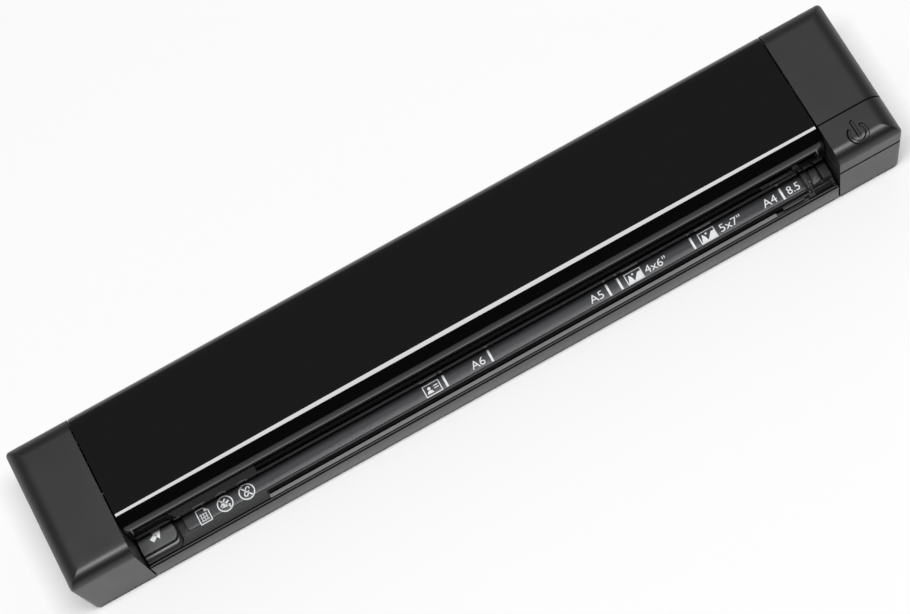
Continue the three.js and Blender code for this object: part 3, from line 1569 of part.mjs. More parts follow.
// Circuit board with its chips, the switch under the plunger, the USB socket and the sensor's ribbon
const mainBoard = block(
  boardLeftX,
  boardRightX,
  -boardHalfDepth,
  boardHalfDepth,
  boardUndersideZ,
  boardTopZ,
);
const chip = ([shareX, shareY], size) => {
  const x = boardLeftX + shareX * (boardRightX - boardLeftX);
  const y = -boardHalfDepth + shareY * 2 * boardHalfDepth;
  const half = size / 2;
  return block(x - half, x + half, y - half, y + half, boardTopZ - seatGap, boardTopZ + processorHeight);
};
const ribbonPlugX = seamX + ribbonEndReach + seatGap;
const ribbonPlug = block(
  ribbonPlugX,
  ribbonPlugX + ribbonPlugLength,
  sensorMidY - ribbonWidth / 2,
  sensorMidY + ribbonWidth / 2,
  boardTopZ - seatGap,
  boardTopZ + ribbonPlugHeight,
);
const fittedBoard = union([
  mainBoard,
  chip(processorShares, processorSize),
  chip(memoryShares, memorySize),
  ribbonPlug,
]);
addPiece(scanner, "circuit_board", fittedBoard, finishes.circuit());

const switchBody = block(
  symbolX - switchSize / 2,
  symbolX + switchSize / 2,
  plungerY - switchSize / 2,
  plungerY + switchSize / 2,
  boardTopZ + seatGap,
  boardTopZ + seatGap + switchHeight,
);
const switchStem = rod(
  "z",
  switchStemRadius,
  [symbolX, plungerY],
  switchTopZ - switchStemHeight - seatGap,
  switchTopZ,
  smallSides,
);
addPiece(scanner, "button_switch", switchBody.add(switchStem), finishes.blackPlastic());

const socketTopZ = socketLowZ + socketHeight;
const socketMouthX = endX - socketMouthInset;
const socketRearX = socketMouthX - socketLength;
const socketEndView = (inset) =>
  roundedShape(
    rectangle(
      socketMidY - socketWidth / 2 + inset,
      socketMidY + socketWidth / 2 - inset,
      socketLowZ + inset,
      socketTopZ - inset,
      socketWall,
    ),
  );
const socketMidZ = (socketLowZ + socketTopZ) / 2;
const socketTongue = block(
  socketRearX + socketWall / 2,
  socketMouthX - socketWall,
  socketMidY - socketWidth / 4,
  socketMidY + socketWidth / 4,
  socketMidZ - socketTongueHeight / 2,
  socketMidZ + socketTongueHeight / 2,
);
const usbSocket = prism("x", socketEndView(0), socketRearX, socketMouthX)
  .subtract(prism("x", socketEndView(socketWall), socketRearX + socketWall, socketMouthX + overrun))
  .add(socketTongue);
addPiece(scanner, "usb_socket", usbSocket, finishes.steel());

const ribbonHighZ = sensorTopZ + sensorFloat + seatGap;
const ribbonLowZ = boardTopZ + seatGap;
const ribbonRoute = [
  [seamX - ribbonTailInset, ribbonHighZ],
  [seamX - ribbonBendInset, ribbonHighZ],
  [seamX + ribbonFootReach, ribbonLowZ],
  [seamX + ribbonEndReach, ribbonLowZ],
];
const ribbonView = [
  ...ribbonRoute.map(([x, z]) => [x, z, 0]),
  ...ribbonRoute.toReversed().map(([x, z]) => [x, z + ribbonThickness, 0]),
];
const ribbon = prism(
  "y",
  roundedShape(ribbonView),
  sensorMidY - ribbonWidth / 2,
  sensorMidY + ribbonWidth / 2,
);
addPiece(scanner, "sensor_ribbon", ribbon, finishes.whitePlastic());

export default scanner;
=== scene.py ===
# %% [markdown]
# This notebook dresses a portable document scanner: a long, low machine with a piano-black cover,
# two matte end caps and a narrow paper tray in front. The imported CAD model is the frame. Every
# piece made here is a surface worked out with numpy, placed by the boxes of the CAD pieces it
# stands for.

# %% Load the frame
import bmesh
import bpy
import numpy as np
from mathutils import Matrix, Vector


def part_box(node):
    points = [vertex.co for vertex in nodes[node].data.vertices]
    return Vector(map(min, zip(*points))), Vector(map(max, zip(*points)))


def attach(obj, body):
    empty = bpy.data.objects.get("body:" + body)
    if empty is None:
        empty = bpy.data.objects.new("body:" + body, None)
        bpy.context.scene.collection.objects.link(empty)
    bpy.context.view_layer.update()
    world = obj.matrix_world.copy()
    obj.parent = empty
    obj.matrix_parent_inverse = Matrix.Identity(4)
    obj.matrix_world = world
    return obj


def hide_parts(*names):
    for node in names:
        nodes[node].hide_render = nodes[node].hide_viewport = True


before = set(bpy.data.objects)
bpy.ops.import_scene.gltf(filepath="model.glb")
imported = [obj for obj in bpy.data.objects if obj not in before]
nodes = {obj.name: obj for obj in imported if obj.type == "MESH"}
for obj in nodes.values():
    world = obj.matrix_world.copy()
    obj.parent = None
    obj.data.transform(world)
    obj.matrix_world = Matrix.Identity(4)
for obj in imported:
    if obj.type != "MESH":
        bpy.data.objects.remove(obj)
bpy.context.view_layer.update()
mm = 0.001

# %% [markdown]
# The camera, the lamp, the floor and every piece are put in the scene in the same way.

# %% Objects
def placed(name, data):
    """A new object with this data, linked into the scene."""
    thing = bpy.data.objects.new(name, data)
    bpy.context.scene.collection.objects.link(thing)
    return thing


# %% [markdown]
# The camera stands in front of the machine, high up and turned on its side, so the machine runs
# from the lower left to the upper right. Its angles and its focal length in pixels were measured on
# the photograph, whose frame is 910 by 614 pixels.

# %% Camera
frame_width_px = 910
focal_px = 2930.0
sensor_width = 36.0
camera_azimuth, camera_elevation, camera_roll = np.radians([-3.7, 68.1, -25.57])
camera_distance = 918.0 * mm
aim = np.array([-0.47, 0.88, 17.7]) * mm

back = np.array([
    np.sin(camera_azimuth) * np.cos(camera_elevation),
    -np.cos(camera_azimuth) * np.cos(camera_elevation),
    np.sin(camera_elevation),
])
level = np.array([np.cos(camera_azimuth), np.sin(camera_azimuth), 0.0])
upright = np.cross(back, level)
right = np.cos(camera_roll) * level + np.sin(camera_roll) * upright
up = np.cos(camera_roll) * upright - np.sin(camera_roll) * level
camera_data = bpy.data.cameras.new("camera")
camera_data.sensor_width = sensor_width
camera_data.lens = focal_px / frame_width_px * sensor_width
camera = placed("camera", camera_data)
axes = np.eye(4)
axes[:3, :3] = np.stack([right, up, back], axis=1)
axes[:3, 3] = aim + back * camera_distance
camera.matrix_world = Matrix(axes.tolist())
bpy.context.scene.camera = camera
print("lens:", round(camera_data.lens, 1), "mm, camera at", (axes[:3, 3] / mm).round(1))

# %% [markdown]
# Every shape below ends as points and four-cornered faces. Points that fall together are welded,
# and a face that loses a corner in the weld becomes a triangle, so poles and collapsed rows close
# up.

# %% Mesh helpers
weld_step = 1e-7


def quarter(steps):
    """Angles over a quarter turn, in even steps."""
    return np.linspace(0, np.pi / 2, steps + 1)


def grid_faces(rows, columns, around=False):
    """Faces of a rows x columns grid of points; with around, the last column joins the first."""
    index = np.arange(rows * columns).reshape(rows, columns)
    if around:
        index = np.concatenate([index, index[:, :1]], axis=1)
    corners = [index[:-1, :-1], index[:-1, 1:], index[1:, 1:], index[1:, :-1]]
    return np.stack(corners, axis=-1).reshape(-1, 4)


def joined(parts):
    """Several (points, faces) as one pair."""
    starts = np.cumsum([0] + [len(points) for points, _ in parts])
    faces = [part[1] + start for part, start in zip(parts, starts)]
    return np.concatenate([points for points, _ in parts]), np.concatenate(faces)


def welded(points, faces):
    """The faces on one point for each place, the first point of each place, and where they were."""
    keys = np.round(points / weld_step).astype(np.int64)
    _, first, place = np.unique(keys, axis=0, return_index=True, return_inverse=True)
    faces = place.reshape(-1)[faces]
    corners = (faces != np.roll(faces, 1, axis=1)).sum(axis=1)
    return points[first], faces[corners > 2], first


def wall(outer, inner, faces):
    """Two skins on the same faces, and a rim along each edge that only one face has."""
    edges = np.stack([faces, np.roll(faces, -1, axis=1)], axis=-1).reshape(-1, 2)
    edges = edges[edges[:, 0] != edges[:, 1]]
    ends = np.sort(edges, axis=1)
    _, first, count = np.unique(ends, axis=0, return_index=True, return_counts=True)
    rim = edges[first[count == 1]]
    size = len(outer)
    sides = np.stack([rim[:, 1], rim[:, 0], rim[:, 0] + size, rim[:, 1] + size], axis=-1)
    return np.concatenate([outer, inner]), np.concatenate([faces, faces[:, ::-1] + size, sides])


def new_piece(name, points, faces, sharp=35):
    """A mesh object from whole arrays, smooth but for edges sharper than the given angle."""
    points, faces, _ = welded(points, faces)
    keep = faces != np.roll(faces, 1, axis=1)
    counts = keep.sum(axis=1)
    loops = faces[keep]
    mesh = bpy.data.meshes.new(name)
    mesh.vertices.add(len(points))
    mesh.vertices.foreach_set("co", points.astype(np.float32).ravel())
    mesh.loops.add(len(loops))
    mesh.loops.foreach_set("vertex_index", loops.astype(np.int32))
    mesh.polygons.add(len(counts))
    mesh.polygons.foreach_set("loop_start", (np.cumsum(counts) - counts).astype(np.int32))
    mesh.update(calc_edges=True)
    mesh.validate()
    face_out(mesh)
    mesh.shade_smooth()
    mesh.set_sharp_from_angle(angle=np.radians(sharp))
    piece = placed(name, mesh)
    print(f"{name}: {len(points)} points, {len(counts)} faces")
    return piece


def face_out(mesh):
    """Turns every face of a closed mesh outwards."""
    shape = bmesh.new()
    shape.from_mesh(mesh)
    bmesh.ops.recalc_face_normals(shape, faces=shape.faces)
    shape.to_mesh(mesh)
    shape.free()


def dress(piece, body, slot, finish, *replaced):
    """Gives a piece its finish and its body, and hides the CAD nodes that it stands for. The slot
    is not used.
    """
    piece.data.materials.append(finish)
    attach(piece, body)
    if replaced:
        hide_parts(*replaced)
    return piece


# %% [markdown]
# The finishes come from a few kinds of surface. Moulded plastic gets its grain from the mould: the
# caps are spark-eroded, so they are matte with a fine even grain, and the cover is polished. Each
# finish is a Principled shader whose grain, roughness and tone are driven by noise on Object
# coordinates.

# %% Finish helpers
noise_low, noise_high = 0.3, 0.7


def new_finish(name, colour, roughness, metallic=0.0, ior=1.5):
    """A material with one Principled shader, and that shader."""
    finish = bpy.data.materials.new(name)
    finish.use_nodes = True
    shader = finish.node_tree.nodes["Principled BSDF"]
    shader.inputs["Base Color"].default_value = (*colour, 1.0)
    shader.inputs["Roughness"].default_value = roughness
    shader.inputs["Metallic"].default_value = metallic
    shader.inputs["IOR"].default_value = ior
    return finish, shader


def noise(finish, grains_per_mm, detail=2.0, stretch=(1.0, 1.0, 1.0)):
    """The value of a noise on Object coordinates, stretched where a finish has a lay."""
    tree = finish.node_tree
    place = tree.nodes.new("ShaderNodeTexCoord")
    lay = tree.nodes.new("ShaderNodeMapping")
    lay.inputs["Scale"].default_value = stretch
    cloud = tree.nodes.new("ShaderNodeTexNoise")
    cloud.inputs["Scale"].default_value = grains_per_mm / mm
    cloud.inputs["Detail"].default_value = detail
    tree.links.new(place.outputs["Object"], lay.inputs["Vector"])
    tree.links.new(lay.outputs["Vector"], cloud.inputs["Vector"])
    return cloud.outputs["Fac"]


def mapped(tree, value, *ends):
    """A number mapped from its own two ends to two others, and held there."""
    node = tree.nodes.new("ShaderNodeMapRange")
    for socket, number in zip(("From Min", "From Max", "To Min", "To Max"), ends):
        node.inputs[socket].default_value = number
    tree.links.new(value, node.inputs["Value"])
    return node.outputs["Result"]


def vary_roughness(finish, shader, value, low, high):
    """Lets a noise drive the roughness between two numbers."""
    tree = finish.node_tree
    result = mapped(tree, value, noise_low, noise_high, low, high)
    tree.links.new(result, shader.inputs["Roughness"])


def tone(finish, shader, value, dark, light):
    """Varies the base colour between two close tones."""
    tree = finish.node_tree
    ramp = tree.nodes.new("ShaderNodeValToRGB")
    ramp.color_ramp.elements[0].position = noise_low
    ramp.color_ramp.elements[0].color = (*dark, 1.0)
    ramp.color_ramp.elements[1].position = noise_high
    ramp.color_ramp.elements[1].color = (*light, 1.0)
    tree.links.new(value, ramp.inputs["Fac"])
    tree.links.new(ramp.outputs["Color"], shader.inputs["Base Color"])


def relief(finish, shader, value, depth):
    """A bump of the given depth in millimetres."""
    tree = finish.node_tree
    bump = tree.nodes.new("ShaderNodeBump")
    bump.inputs["Distance"].default_value = depth * mm
    tree.links.new(value, bump.inputs["Height"])
    tree.links.new(bump.outputs["Normal"], shader.inputs["Normal"])


def moulded(name, colour, roughness, grains_per_mm, depth, contrast=0.12, ior=1.5):
    """Moulded plastic: an even grain, and a tone and a roughness that drift a little."""
    finish, shader = new_finish(name, colour, roughness, ior=ior)
    grain = noise(finish, grains_per_mm)
    relief(finish, shader, grain, depth)
    drift = noise(finish, 0.05)
    vary_roughness(finish, shader, drift, roughness * 0.94, roughness * 1.06)
    colour = np.array(colour)
    tone(finish, shader, grain, colour * (1 - contrast), colour * (1 + contrast))
    return finish


def drawn_metal(name, colour, roughness, stretch):
    """Rolled, ground or drawn steel: fine lines along the way it was worked."""
    finish, shader = new_finish(name, colour, roughness, metallic=1.0)
    lines = noise(finish, 4.0, detail=3.0, stretch=stretch)
    relief(finish, shader, lines, 0.002)
    vary_roughness(finish, shader, lines, roughness * 0.8, roughness * 1.25)
    return finish


# %% [markdown]
# These are the finishes of the pieces that show. The cover is polished black with a trace of haze,
# the caps and the skirt have the same matte grain, and the tray is a smoother satin, as paper
# slides on it.

# %% Finishes that show
cap_black, base_black = (0.004, 0.0041, 0.0041), (0.008, 0.0082, 0.0082)
cap_plastic = moulded("cap_plastic", cap_black, 0.43, 3.2, 0.02, contrast=0.3, ior=1.62)
base_plastic = moulded("base_plastic", base_black, 0.4, 3.2, 0.01, contrast=0.3, ior=1.55)
tray_satin = moulded("tray_satin", (0.022, 0.0225, 0.0235), 0.34, 6.0, 0.002)
strip_film = moulded("strip_film", (0.05, 0.051, 0.056), 0.38, 6.0, 0.001)
# The pad's face: real grain, and a lighter base colour that is painted sheen on its top.
pad_plastic = moulded("pad_plastic", (0.075, 0.076, 0.078), 0.5, 3.5, 0.02, contrast=0.35)
slider_plastic = moulded("slider_plastic", (0.03, 0.03, 0.029), 0.35, 5.0, 0.003)
print_white = moulded("print_white", (0.85, 0.86, 0.87), 0.5, 8.0, 0.001, contrast=0.03)


def polished_black():
    """Piano-black moulding: a mirror with a faint haze that comes and goes."""
    finish, shader = new_finish("gloss_black", (0.0015, 0.0015, 0.0017), 0.03)
    vary_roughness(finish, shader, noise(finish, 0.02), 0.02, 0.045)
    return finish


gloss_black = polished_black()

# %% [markdown]
# The sizes that the outer shells share. They are read from the boxes of the CAD pieces where a box
# gives them, and the rest are the radii and drafts of the mouldings.

# %% Shell sizes
left_cap_low, left_cap_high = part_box("left_end_cap")
seam_x = -left_cap_high.x
end_x = -left_cap_low.x
half_depth = left_cap_high.y
under_z, crown_z = left_cap_low.z, left_cap_high.z
crown_front, crown_rear, crown_end = 4.5 * mm, 5.5 * mm, 6.0 * mm
heel_radius, tail_radius, plan_radius = 1.2 * mm, 2.5 * mm, 1.4 * mm
face_draft, end_draft = np.radians(4.3), np.radians(1.5)
shell_wall = 1.8 * mm
print("end caps from", round(seam_x / mm, 1), "to", round(end_x / mm, 1), "mm")

# %% [markdown]
# An end cap is a box whose walls lean in and whose top edges are rounded, with a sharp mitre where
# the roundings meet. Cut level, it is always a rectangle with rounded outer corners, so the surface
# is a stack of level outlines: one parameter runs round the outline and the other up the walls. The
# radius of the outer corners fades to nothing at the crown, which makes the mitre.

# %% End cap surface
arc_steps = 8
least_heel = 0.2 * mm
corner_loss = 0.8


def reach(z, half, crown, draft, heel, inset):
    """How far a wall stands from the middle at height z: a drafted line, closed by an arc of the
    crown radius above and drawn in by an arc of the heel radius below."""
    radius = crown - inset
    rise = z - (crown_z - crown)
    arc = np.sqrt(np.clip(radius**2 - rise**2, 0, None))
    line = (radius + rise * np.sin(draft)) / np.cos(draft)
    wall_reach = half - crown + np.where(rise > -radius * np.sin(draft), arc, line)
    foot = max(heel - inset, least_heel)
    drop = np.clip(foot - (z - under_z - inset), 0, foot)
    return wall_reach - foot + np.sqrt(foot**2 - drop**2)


def cap_levels(extra=(), crown_steps=14):
    """Heights of the outlines: close together round the heel and the crown, and the given ones."""
    heel_turn = quarter(5)
    crown_turn = quarter(crown_steps)
    low = under_z + tail_radius * (1 - np.cos(heel_turn))
    high = crown_z - crown_end + crown_end * np.sin(crown_turn)
    return np.unique(np.round(np.concatenate([low, extra, high]), 9))


def cap_skin(side, shares, stations, levels, inset=0.0):
    """Points of a cap's skin, inset from the outside, and its faces. Each level outline runs along
    the front wall, round the outer wall, back along the rear wall and down the seam wall."""
    straight = under_z + 2 * shell_wall
    known = [under_z, straight, crown_z - crown_end, crown_z]
    z = np.interp(levels, known, [under_z + inset, straight, crown_z - crown_end, crown_z - inset])
    x_end = reach(z, end_x, crown_end, end_draft, heel_radius, inset)
    y_front = -reach(z, half_depth, crown_front, face_draft, heel_radius, inset)
    y_rear = reach(z, half_depth, crown_rear, face_draft, tail_radius, inset)
    fade = np.clip((levels - (crown_z - crown_end)) / crown_end, 0, 1)
    corner = plan_radius * (1 - corner_loss * inset / plan_radius) * (1 - fade**2)
    turn = quarter(arc_steps)
    centre_x = (x_end - corner)[:, None]
    front_x = centre_x + corner[:, None] * np.sin(turn)
    front_y = (y_front + corner)[:, None] - corner[:, None] * np.cos(turn)
    rear_x = centre_x + corner[:, None] * np.cos(turn)
    rear_y = (y_rear - corner)[:, None] + corner[:, None] * np.sin(turn)
    middle = np.broadcast_to(stations, (len(z), len(stations)))
    end_wall = np.broadcast_to(x_end[:, None], middle.shape)
    side_x = np.concatenate([front_x, end_wall, rear_x], axis=1)
    side_y = np.concatenate([front_y, middle, rear_y], axis=1)
    near = seam_x + inset
    across = near + (side_x[:, :, None] - near) * shares
    along = np.broadcast_to(side_y[:, :, None], across.shape)
    height = np.broadcast_to(z[:, None, None], across.shape)
    block = np.stack([side * across, along, height], axis=-1)
    ring = np.concatenate([
        block[:, 0, :],
        block[:, 1:, -1],
        block[:, -1, -2::-1],
        block[:, -2:0:-1, 0],
    ], axis=1)
    parts = [(ring.reshape(-1, 3), grid_faces(*ring.shape[:2], around=True))]
    for plane in (block[0], block[-1]):
        parts.append((plane.reshape(-1, 3), grid_faces(*plane.shape[:2])))
    return joined(parts)


def cap_shell(side, shares, stations, levels, keep, sink=None):
    """A hollow shell from the faces of the cap's skin that keep(x, y, z) is true for. sink(x, y) is
    the share of the wall by which the outer skin is pressed in."""
    outer, faces = cap_skin(side, shares, stations, levels)
    inner, _ = cap_skin(side, shares, stations, levels, shell_wall)
    outer, faces, first = welded(outer, faces)
    inner = inner[first]
    middle = outer[faces].mean(axis=1)
    faces = faces[keep(side * middle[:, 0], middle[:, 1], middle[:, 2])]
    if sink is not None:
        on_crown = outer[:, 2:] > crown_z - crown_front
        depth = sink(side * outer[:, 0], outer[:, 1])[:, None] * on_crown
        outer = outer + (inner - outer) * depth
    return wall(outer, inner, faces)


# %% [markdown]
# The caps are closed towards the tray and open towards the machine, where the shafts and the gears
# pass through a doorway. The right cap lacks its top front corner, which is the power button.

# %% End caps
button_low, button_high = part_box("power_button")
button_seam_y = -11.85 * mm
cap_ledge_z = 22.8 * mm
seam_slack = 0.1 * mm
doorway_front_y, doorway_rear_y = -14.8 * mm, 19.6 * mm
screw_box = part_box("cap_screw_4")
screw_x = (screw_box[0].x + screw_box[1].x) / 2
screw_y = (screw_box[0].y + screw_box[1].y) / 2
well_half = 2.6 * mm


def near_wells(centre):
    return centre + well_half * np.linspace(-1, 1, 5)


x_places = np.concatenate([near_wells(screw_x), np.linspace(seam_x, end_x - plan_radius, 14)])
cap_shares = np.unique(np.clip((x_places - seam_x) / (end_x - plan_radius - seam_x), 0, 1).round(4))
y_places = [near_wells(-screw_y), near_wells(screw_y),
            [doorway_front_y, button_seam_y, doorway_rear_y]]
cap_stations = np.unique(np.concatenate([*y_places, np.linspace(-19.5, 19.5, 14) * mm]).round(7))
floor_z = under_z + shell_wall
cap_rows = cap_levels([floor_z, 6 * mm, 12 * mm, 18 * mm, cap_ledge_z, 27 * mm])


def doorway(x, y, z):
    within = (y > doorway_front_y) & (y < doorway_rear_y) & (x < seam_x + seam_slack)
    return within & (z > floor_z) & (z < crown_z - crown_end)


def keep_left(x, y, z):
    return ~doorway(x, y, z)


def keep_right(x, y, z):
    return ~doorway(x, y, z) & ~((y < button_seam_y) & (z > cap_ledge_z))


for side, word, keep in ((-1, "left", keep_left), (1, "right", keep_right)):
    cap = new_piece(f"{word}_cap_shell", *cap_shell(side, cap_shares, cap_stations, cap_rows, keep))
    dress(cap, "housing", "cap_plastic", cap_plastic, f"{word}_end_cap")

# %% [markdown]
# The power button is the same skin, cut where the cap's is missing and finer round its symbol. The
# symbol is an open ring with a bar, a groove with steep sides, so the depth at a point is worked
# out from its distance to the ring and to the bar.

# %% Power button
symbol_x, symbol_y = 132.7 * mm, -20.45 * mm
symbol_radius = 2.9 * mm
symbol_stroke = 1.1 * mm
symbol_opening = np.radians(94)
bar_low, bar_high = -1.0 * mm, 4.15 * mm
groove_share = 0.42
groove_side = 0.14 * mm
fine_step = 0.11 * mm


def symbol_sink(x, y):
    """Share of the wall to press in: full within half a stroke of the ring's arc or of the bar."""
    dx, dy = x - symbol_x, y - symbol_y
    from_top = np.abs(np.arctan2(dx, dy))
    ring = np.abs(np.hypot(dx, dy) - symbol_radius)
    tip = symbol_radius * np.array([np.sin(symbol_opening / 2), np.cos(symbol_opening / 2)])
    ends = np.hypot(np.abs(dx) - tip[0], dy - tip[1])
    ring = np.where(from_top > symbol_opening / 2, ring, ends)
    bar = np.hypot(dx, dy - np.clip(dy, bar_low, bar_high))
    gap = symbol_stroke / 2 - np.minimum(ring, bar)
    return groove_share * np.clip(gap / groove_side + 0.5, 0, 1)


symbol_half = symbol_radius + symbol_stroke
button_places = np.concatenate([
    np.linspace(seam_x, symbol_x - symbol_half, 6),
    np.arange(symbol_x - symbol_half, symbol_x + symbol_half, fine_step),
    np.linspace(symbol_x + symbol_half, end_x - crown_end, 5),
])
button_shares = np.unique(((button_places - seam_x) / (end_x - crown_end - seam_x)).round(4))
symbol_rear = symbol_y + bar_high
button_stations = np.concatenate([
    np.arange(-half_depth + crown_front + fine_step, symbol_rear + symbol_stroke, fine_step),
    np.linspace(symbol_rear + 1.3 * symbol_stroke, button_high.y, 4),
    [button_high.y + 2 * mm],
])
fine_levels = crown_z - crown_front + crown_front * np.sin(quarter(56))
button_rows = cap_levels([button_low.z, 26 * mm, *fine_levels], crown_steps=20)


def keep_button(x, y, z):
    return (y < button_high.y) & (z > button_low.z)


button = cap_shell(1, button_shares, button_stations, button_rows, keep_button, symbol_sink)
power_button = new_piece("power_button_shell", *button)
dress(power_button, "power_button", "cap_plastic", cap_plastic, "power_button")

# %% [markdown]
# The long mouldings are profiles carried along the machine. A profile is a chain of straight runs
# and arcs, each given by its length or radius and the angle it turns, so its curvature is in plain
# sight. The chain is worked out by adding up short chords whose heading turns evenly.

# %% Profiles
def chain(start, heading, runs):
    """Points of a chain of runs. A run is (length, 0, steps) for a straight, or (radius, turn in
    degrees, steps) for an arc that turns right. The heading is in degrees from +Y towards +Z."""
    points = [np.array([start], float)]
    for size, turn, steps in runs:
        angle = np.radians(heading - turn * (np.arange(steps) + 0.5) / steps)
        bend = np.radians(abs(turn)) / steps
        chord = size / steps if turn == 0 else 2 * size * np.sin(bend / 2)
        hops = chord * np.stack([np.cos(angle), np.sin(angle)], axis=-1)
        points.append(points[-1][-1] + np.cumsum(hops, axis=0))
        heading -= turn
    return np.concatenate(points)


def rounded(corners, steps=4):
    """A closed outline from (y, z, radius) corners, anticlockwise, each rounded by its own arc."""
    corners = np.array(corners, float)
    at, radius = corners[:, :2], corners[:, 2:]
    back_way = np.roll(at, 1, axis=0) - at
    next_way = np.roll(at, -1, axis=0) - at
    back_way /= np.linalg.norm(back_way, axis=1, keepdims=True)
    next_way /= np.linalg.norm(next_way, axis=1, keepdims=True)
    half = np.arccos(np.clip((back_way * next_way).sum(axis=1, keepdims=True), -1, 1)) / 2
    middle = back_way + next_way
    middle /= np.linalg.norm(middle, axis=1, keepdims=True)
    centre = at + middle * radius / np.sin(half)
    first = at + back_way * radius / np.tan(half) - centre
    last = at + next_way * radius / np.tan(half) - centre
    share = np.linspace(0, 1, steps + 1)[None, :, None]
    sweep = np.pi - 2 * half[:, :, None]
    blend = (np.sin((1 - share) * sweep) * first[:, None] + np.sin(share * sweep) * last[:, None])
    arcs = centre[:, None] + blend / np.sin(sweep)
    return arcs.reshape(-1, 2)


def normals_of(profile):
    """Outward normals of a closed anticlockwise profile, from the points beside each point."""
    along = np.roll(profile, -1, axis=0) - np.roll(profile, 1, axis=0)
    across = np.stack([along[:, 1], -along[:, 0]], axis=-1)
    return across / np.maximum(np.linalg.norm(across, axis=1, keepdims=True), 1e-12)


bend_stations = 24


def eased_ends(low, high, ease, between, steps=3):
    """Stations along X and how far the outline is drawn in at each, so that the ends are rounded.
    One more station, twice the radius in, keeps the turned ends out of the long run's shading."""
    turn = quarter(steps)
    inward = np.append(ease * (1 - np.sin(turn)), 0)
    lead = np.append(ease * (1 - np.cos(turn)), 2 * ease)
    middle = np.linspace(low + lead[-1], high - lead[-1], between + 2)[1:-1]
    x = np.concatenate([low + lead, middle, high - lead[::-1]])
    return x, np.concatenate([inward, np.zeros(between), inward[::-1]])


def carried(profile, low, high, ease=0.15 * mm, end_profile=None):
    """A closed profile in (Y, Z) carried along X, drawn in by a small radius at both ends. With an
    end profile, the section changes to it with the square of the distance from the middle."""
    x, inward = eased_ends(low, high, ease, 0 if end_profile is None else bend_stations)
    ring = profile[None] - normals_of(profile)[None] * inward[:, None, None]
    if end_profile is not None:
        share = ((2 * x - low - high) / (high - low))**2
        ring = ring + share[:, None, None] * (end_profile - profile)[None]
    along = np.broadcast_to(x[:, None, None], (*ring.shape[:2], 1))
    points = np.concatenate([along, ring], axis=-1)
    return points.reshape(-1, 3), grid_faces(*ring.shape[:2], around=True)


# %% [markdown]
# The glossy cover is a thin shell with open ends. Its front wall stands almost upright over the
# tray and rounds back into a gentler slope, which ends at a faint crease along the top. That slope
# is what draws the bright line along the whole cover, because it is the only part that mirrors the
# lamp overhead. The section is made of straight runs and arcs, so each of these can be set by
# itself. The crease comes a little forward towards both ends, so the bright line narrows there.

# %% Glossy cover
cover_low, cover_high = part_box("top_cover")
front_wall_y, front_edge_z = -16.7 * mm, 20.8 * mm
brow_radius, bow_radius, slope_radius, crease_radius = 3.75 * mm, 7.26 * mm, 11.9 * mm, 0.5 * mm
wall_tilt, bow_tilt, slope_tilt = 0.1, 38.0, 71.0
crease_tilt, crease_tilt_ends = 78.0, 75.4
edge_radius, lead_in = 0.15 * mm, 33.0
rear_edge_rise, mouth_rise = 0.9 * mm, 3.2 * mm
cover_ease = 0.2 * mm


def rise_of(radius, low, high):
    """Height gained on an arc while its normal climbs between two angles in degrees."""
    return radius * (np.sin(np.radians(high)) - np.sin(np.radians(low)))


def cover_outline(crease_tilt):
    """The outside, as two chains from the top of the front wall: one over the top to the rear edge,
    the other down the wall and in under it to the front edge of the mouth."""
    wall_top = cover_high.z - rise_of(brow_radius, wall_tilt, bow_tilt)
    wall_top -= rise_of(bow_radius, bow_tilt, slope_tilt)
    crease_rise = rise_of(crease_radius, crease_tilt, 90)
    wall_top -= rise_of(slope_radius, slope_tilt, crease_tilt) + crease_rise
    over = chain((front_wall_y, wall_top), 90 - wall_tilt, [
        (brow_radius, bow_tilt - wall_tilt, 16),
        (bow_radius, slope_tilt - bow_tilt, 14),
        (slope_radius, crease_tilt - slope_tilt, 8),
        (crease_radius, 90 - crease_tilt, 5),
    ])
    rear_drop = crown_z - crown_rear - crown_rear * np.sin(face_draft)
    rear_drop = rear_drop - cover_low.z - rear_edge_rise
    rear = chain(over[-1], 0, [
        (half_depth - crown_rear - over[-1][0], 0, 12),
        (crown_rear, 90 + np.degrees(face_draft), 18),
        (rear_drop / np.cos(face_draft), 0, 6),
    ])
    under = chain((front_wall_y, wall_top), 270 - wall_tilt, [
        (wall_top - front_edge_z, 0, 6),
        (edge_radius, -lead_in, 5),
        ((cover_low.y - front_wall_y) / np.sin(np.radians(lead_in)), 0, 4),
    ])
    foot = np.array([[under[-1][0], cover_low.z]])
    return np.concatenate([foot, under[::-1], over[1:], rear[1:]])


def cover_lining():
    """The inside, a plain rounded channel one wall inside the outline."""
    front, rear = front_wall_y + shell_wall, half_depth - shell_wall - rear_edge_rise
    top = crown_z - shell_wall
    corners = [
        (cover_low.y + shell_wall, cover_low.z, 0),
        (rear, cover_low.z + rear_edge_rise, 0),
        (rear, top, crown_rear - shell_wall),
        (front, top, crown_front),
        (front, front_edge_z + shell_wall, edge_radius),
        (cover_low.y + shell_wall, cover_low.z + mouth_rise, edge_radius),
    ]
    return rounded(corners, steps=6)


lining = cover_lining()
lining = np.concatenate([lining[7:], lining[:1]])
outline, end_outline = cover_outline(crease_tilt), cover_outline(crease_tilt_ends)
cover_section = np.concatenate([outline[::-1], lining[::-1]])
end_section = np.concatenate([end_outline[::-1], lining[::-1]])
cover = carried(cover_section, cover_low.x, cover_high.x, cover_ease, end_section)
dress(new_piece("cover_shell", *cover), "housing", "gloss_black", gloss_black, "top_cover")
crest_y = outline[np.argmax(outline[:, 1] > crown_z - 0.01 * mm), 0]
print("cover crease at y =", round(crest_y / mm, 2), "mm")

# %% [markdown]
# The base is one long moulding: a channel with a skirt in front, and along the top of the skirt a
# thin lip that the tray lies behind. Each edge has its own small radius, because the light that
# they catch is what separates the skirt from the tray. So the section is a list of corners with
# their radii.

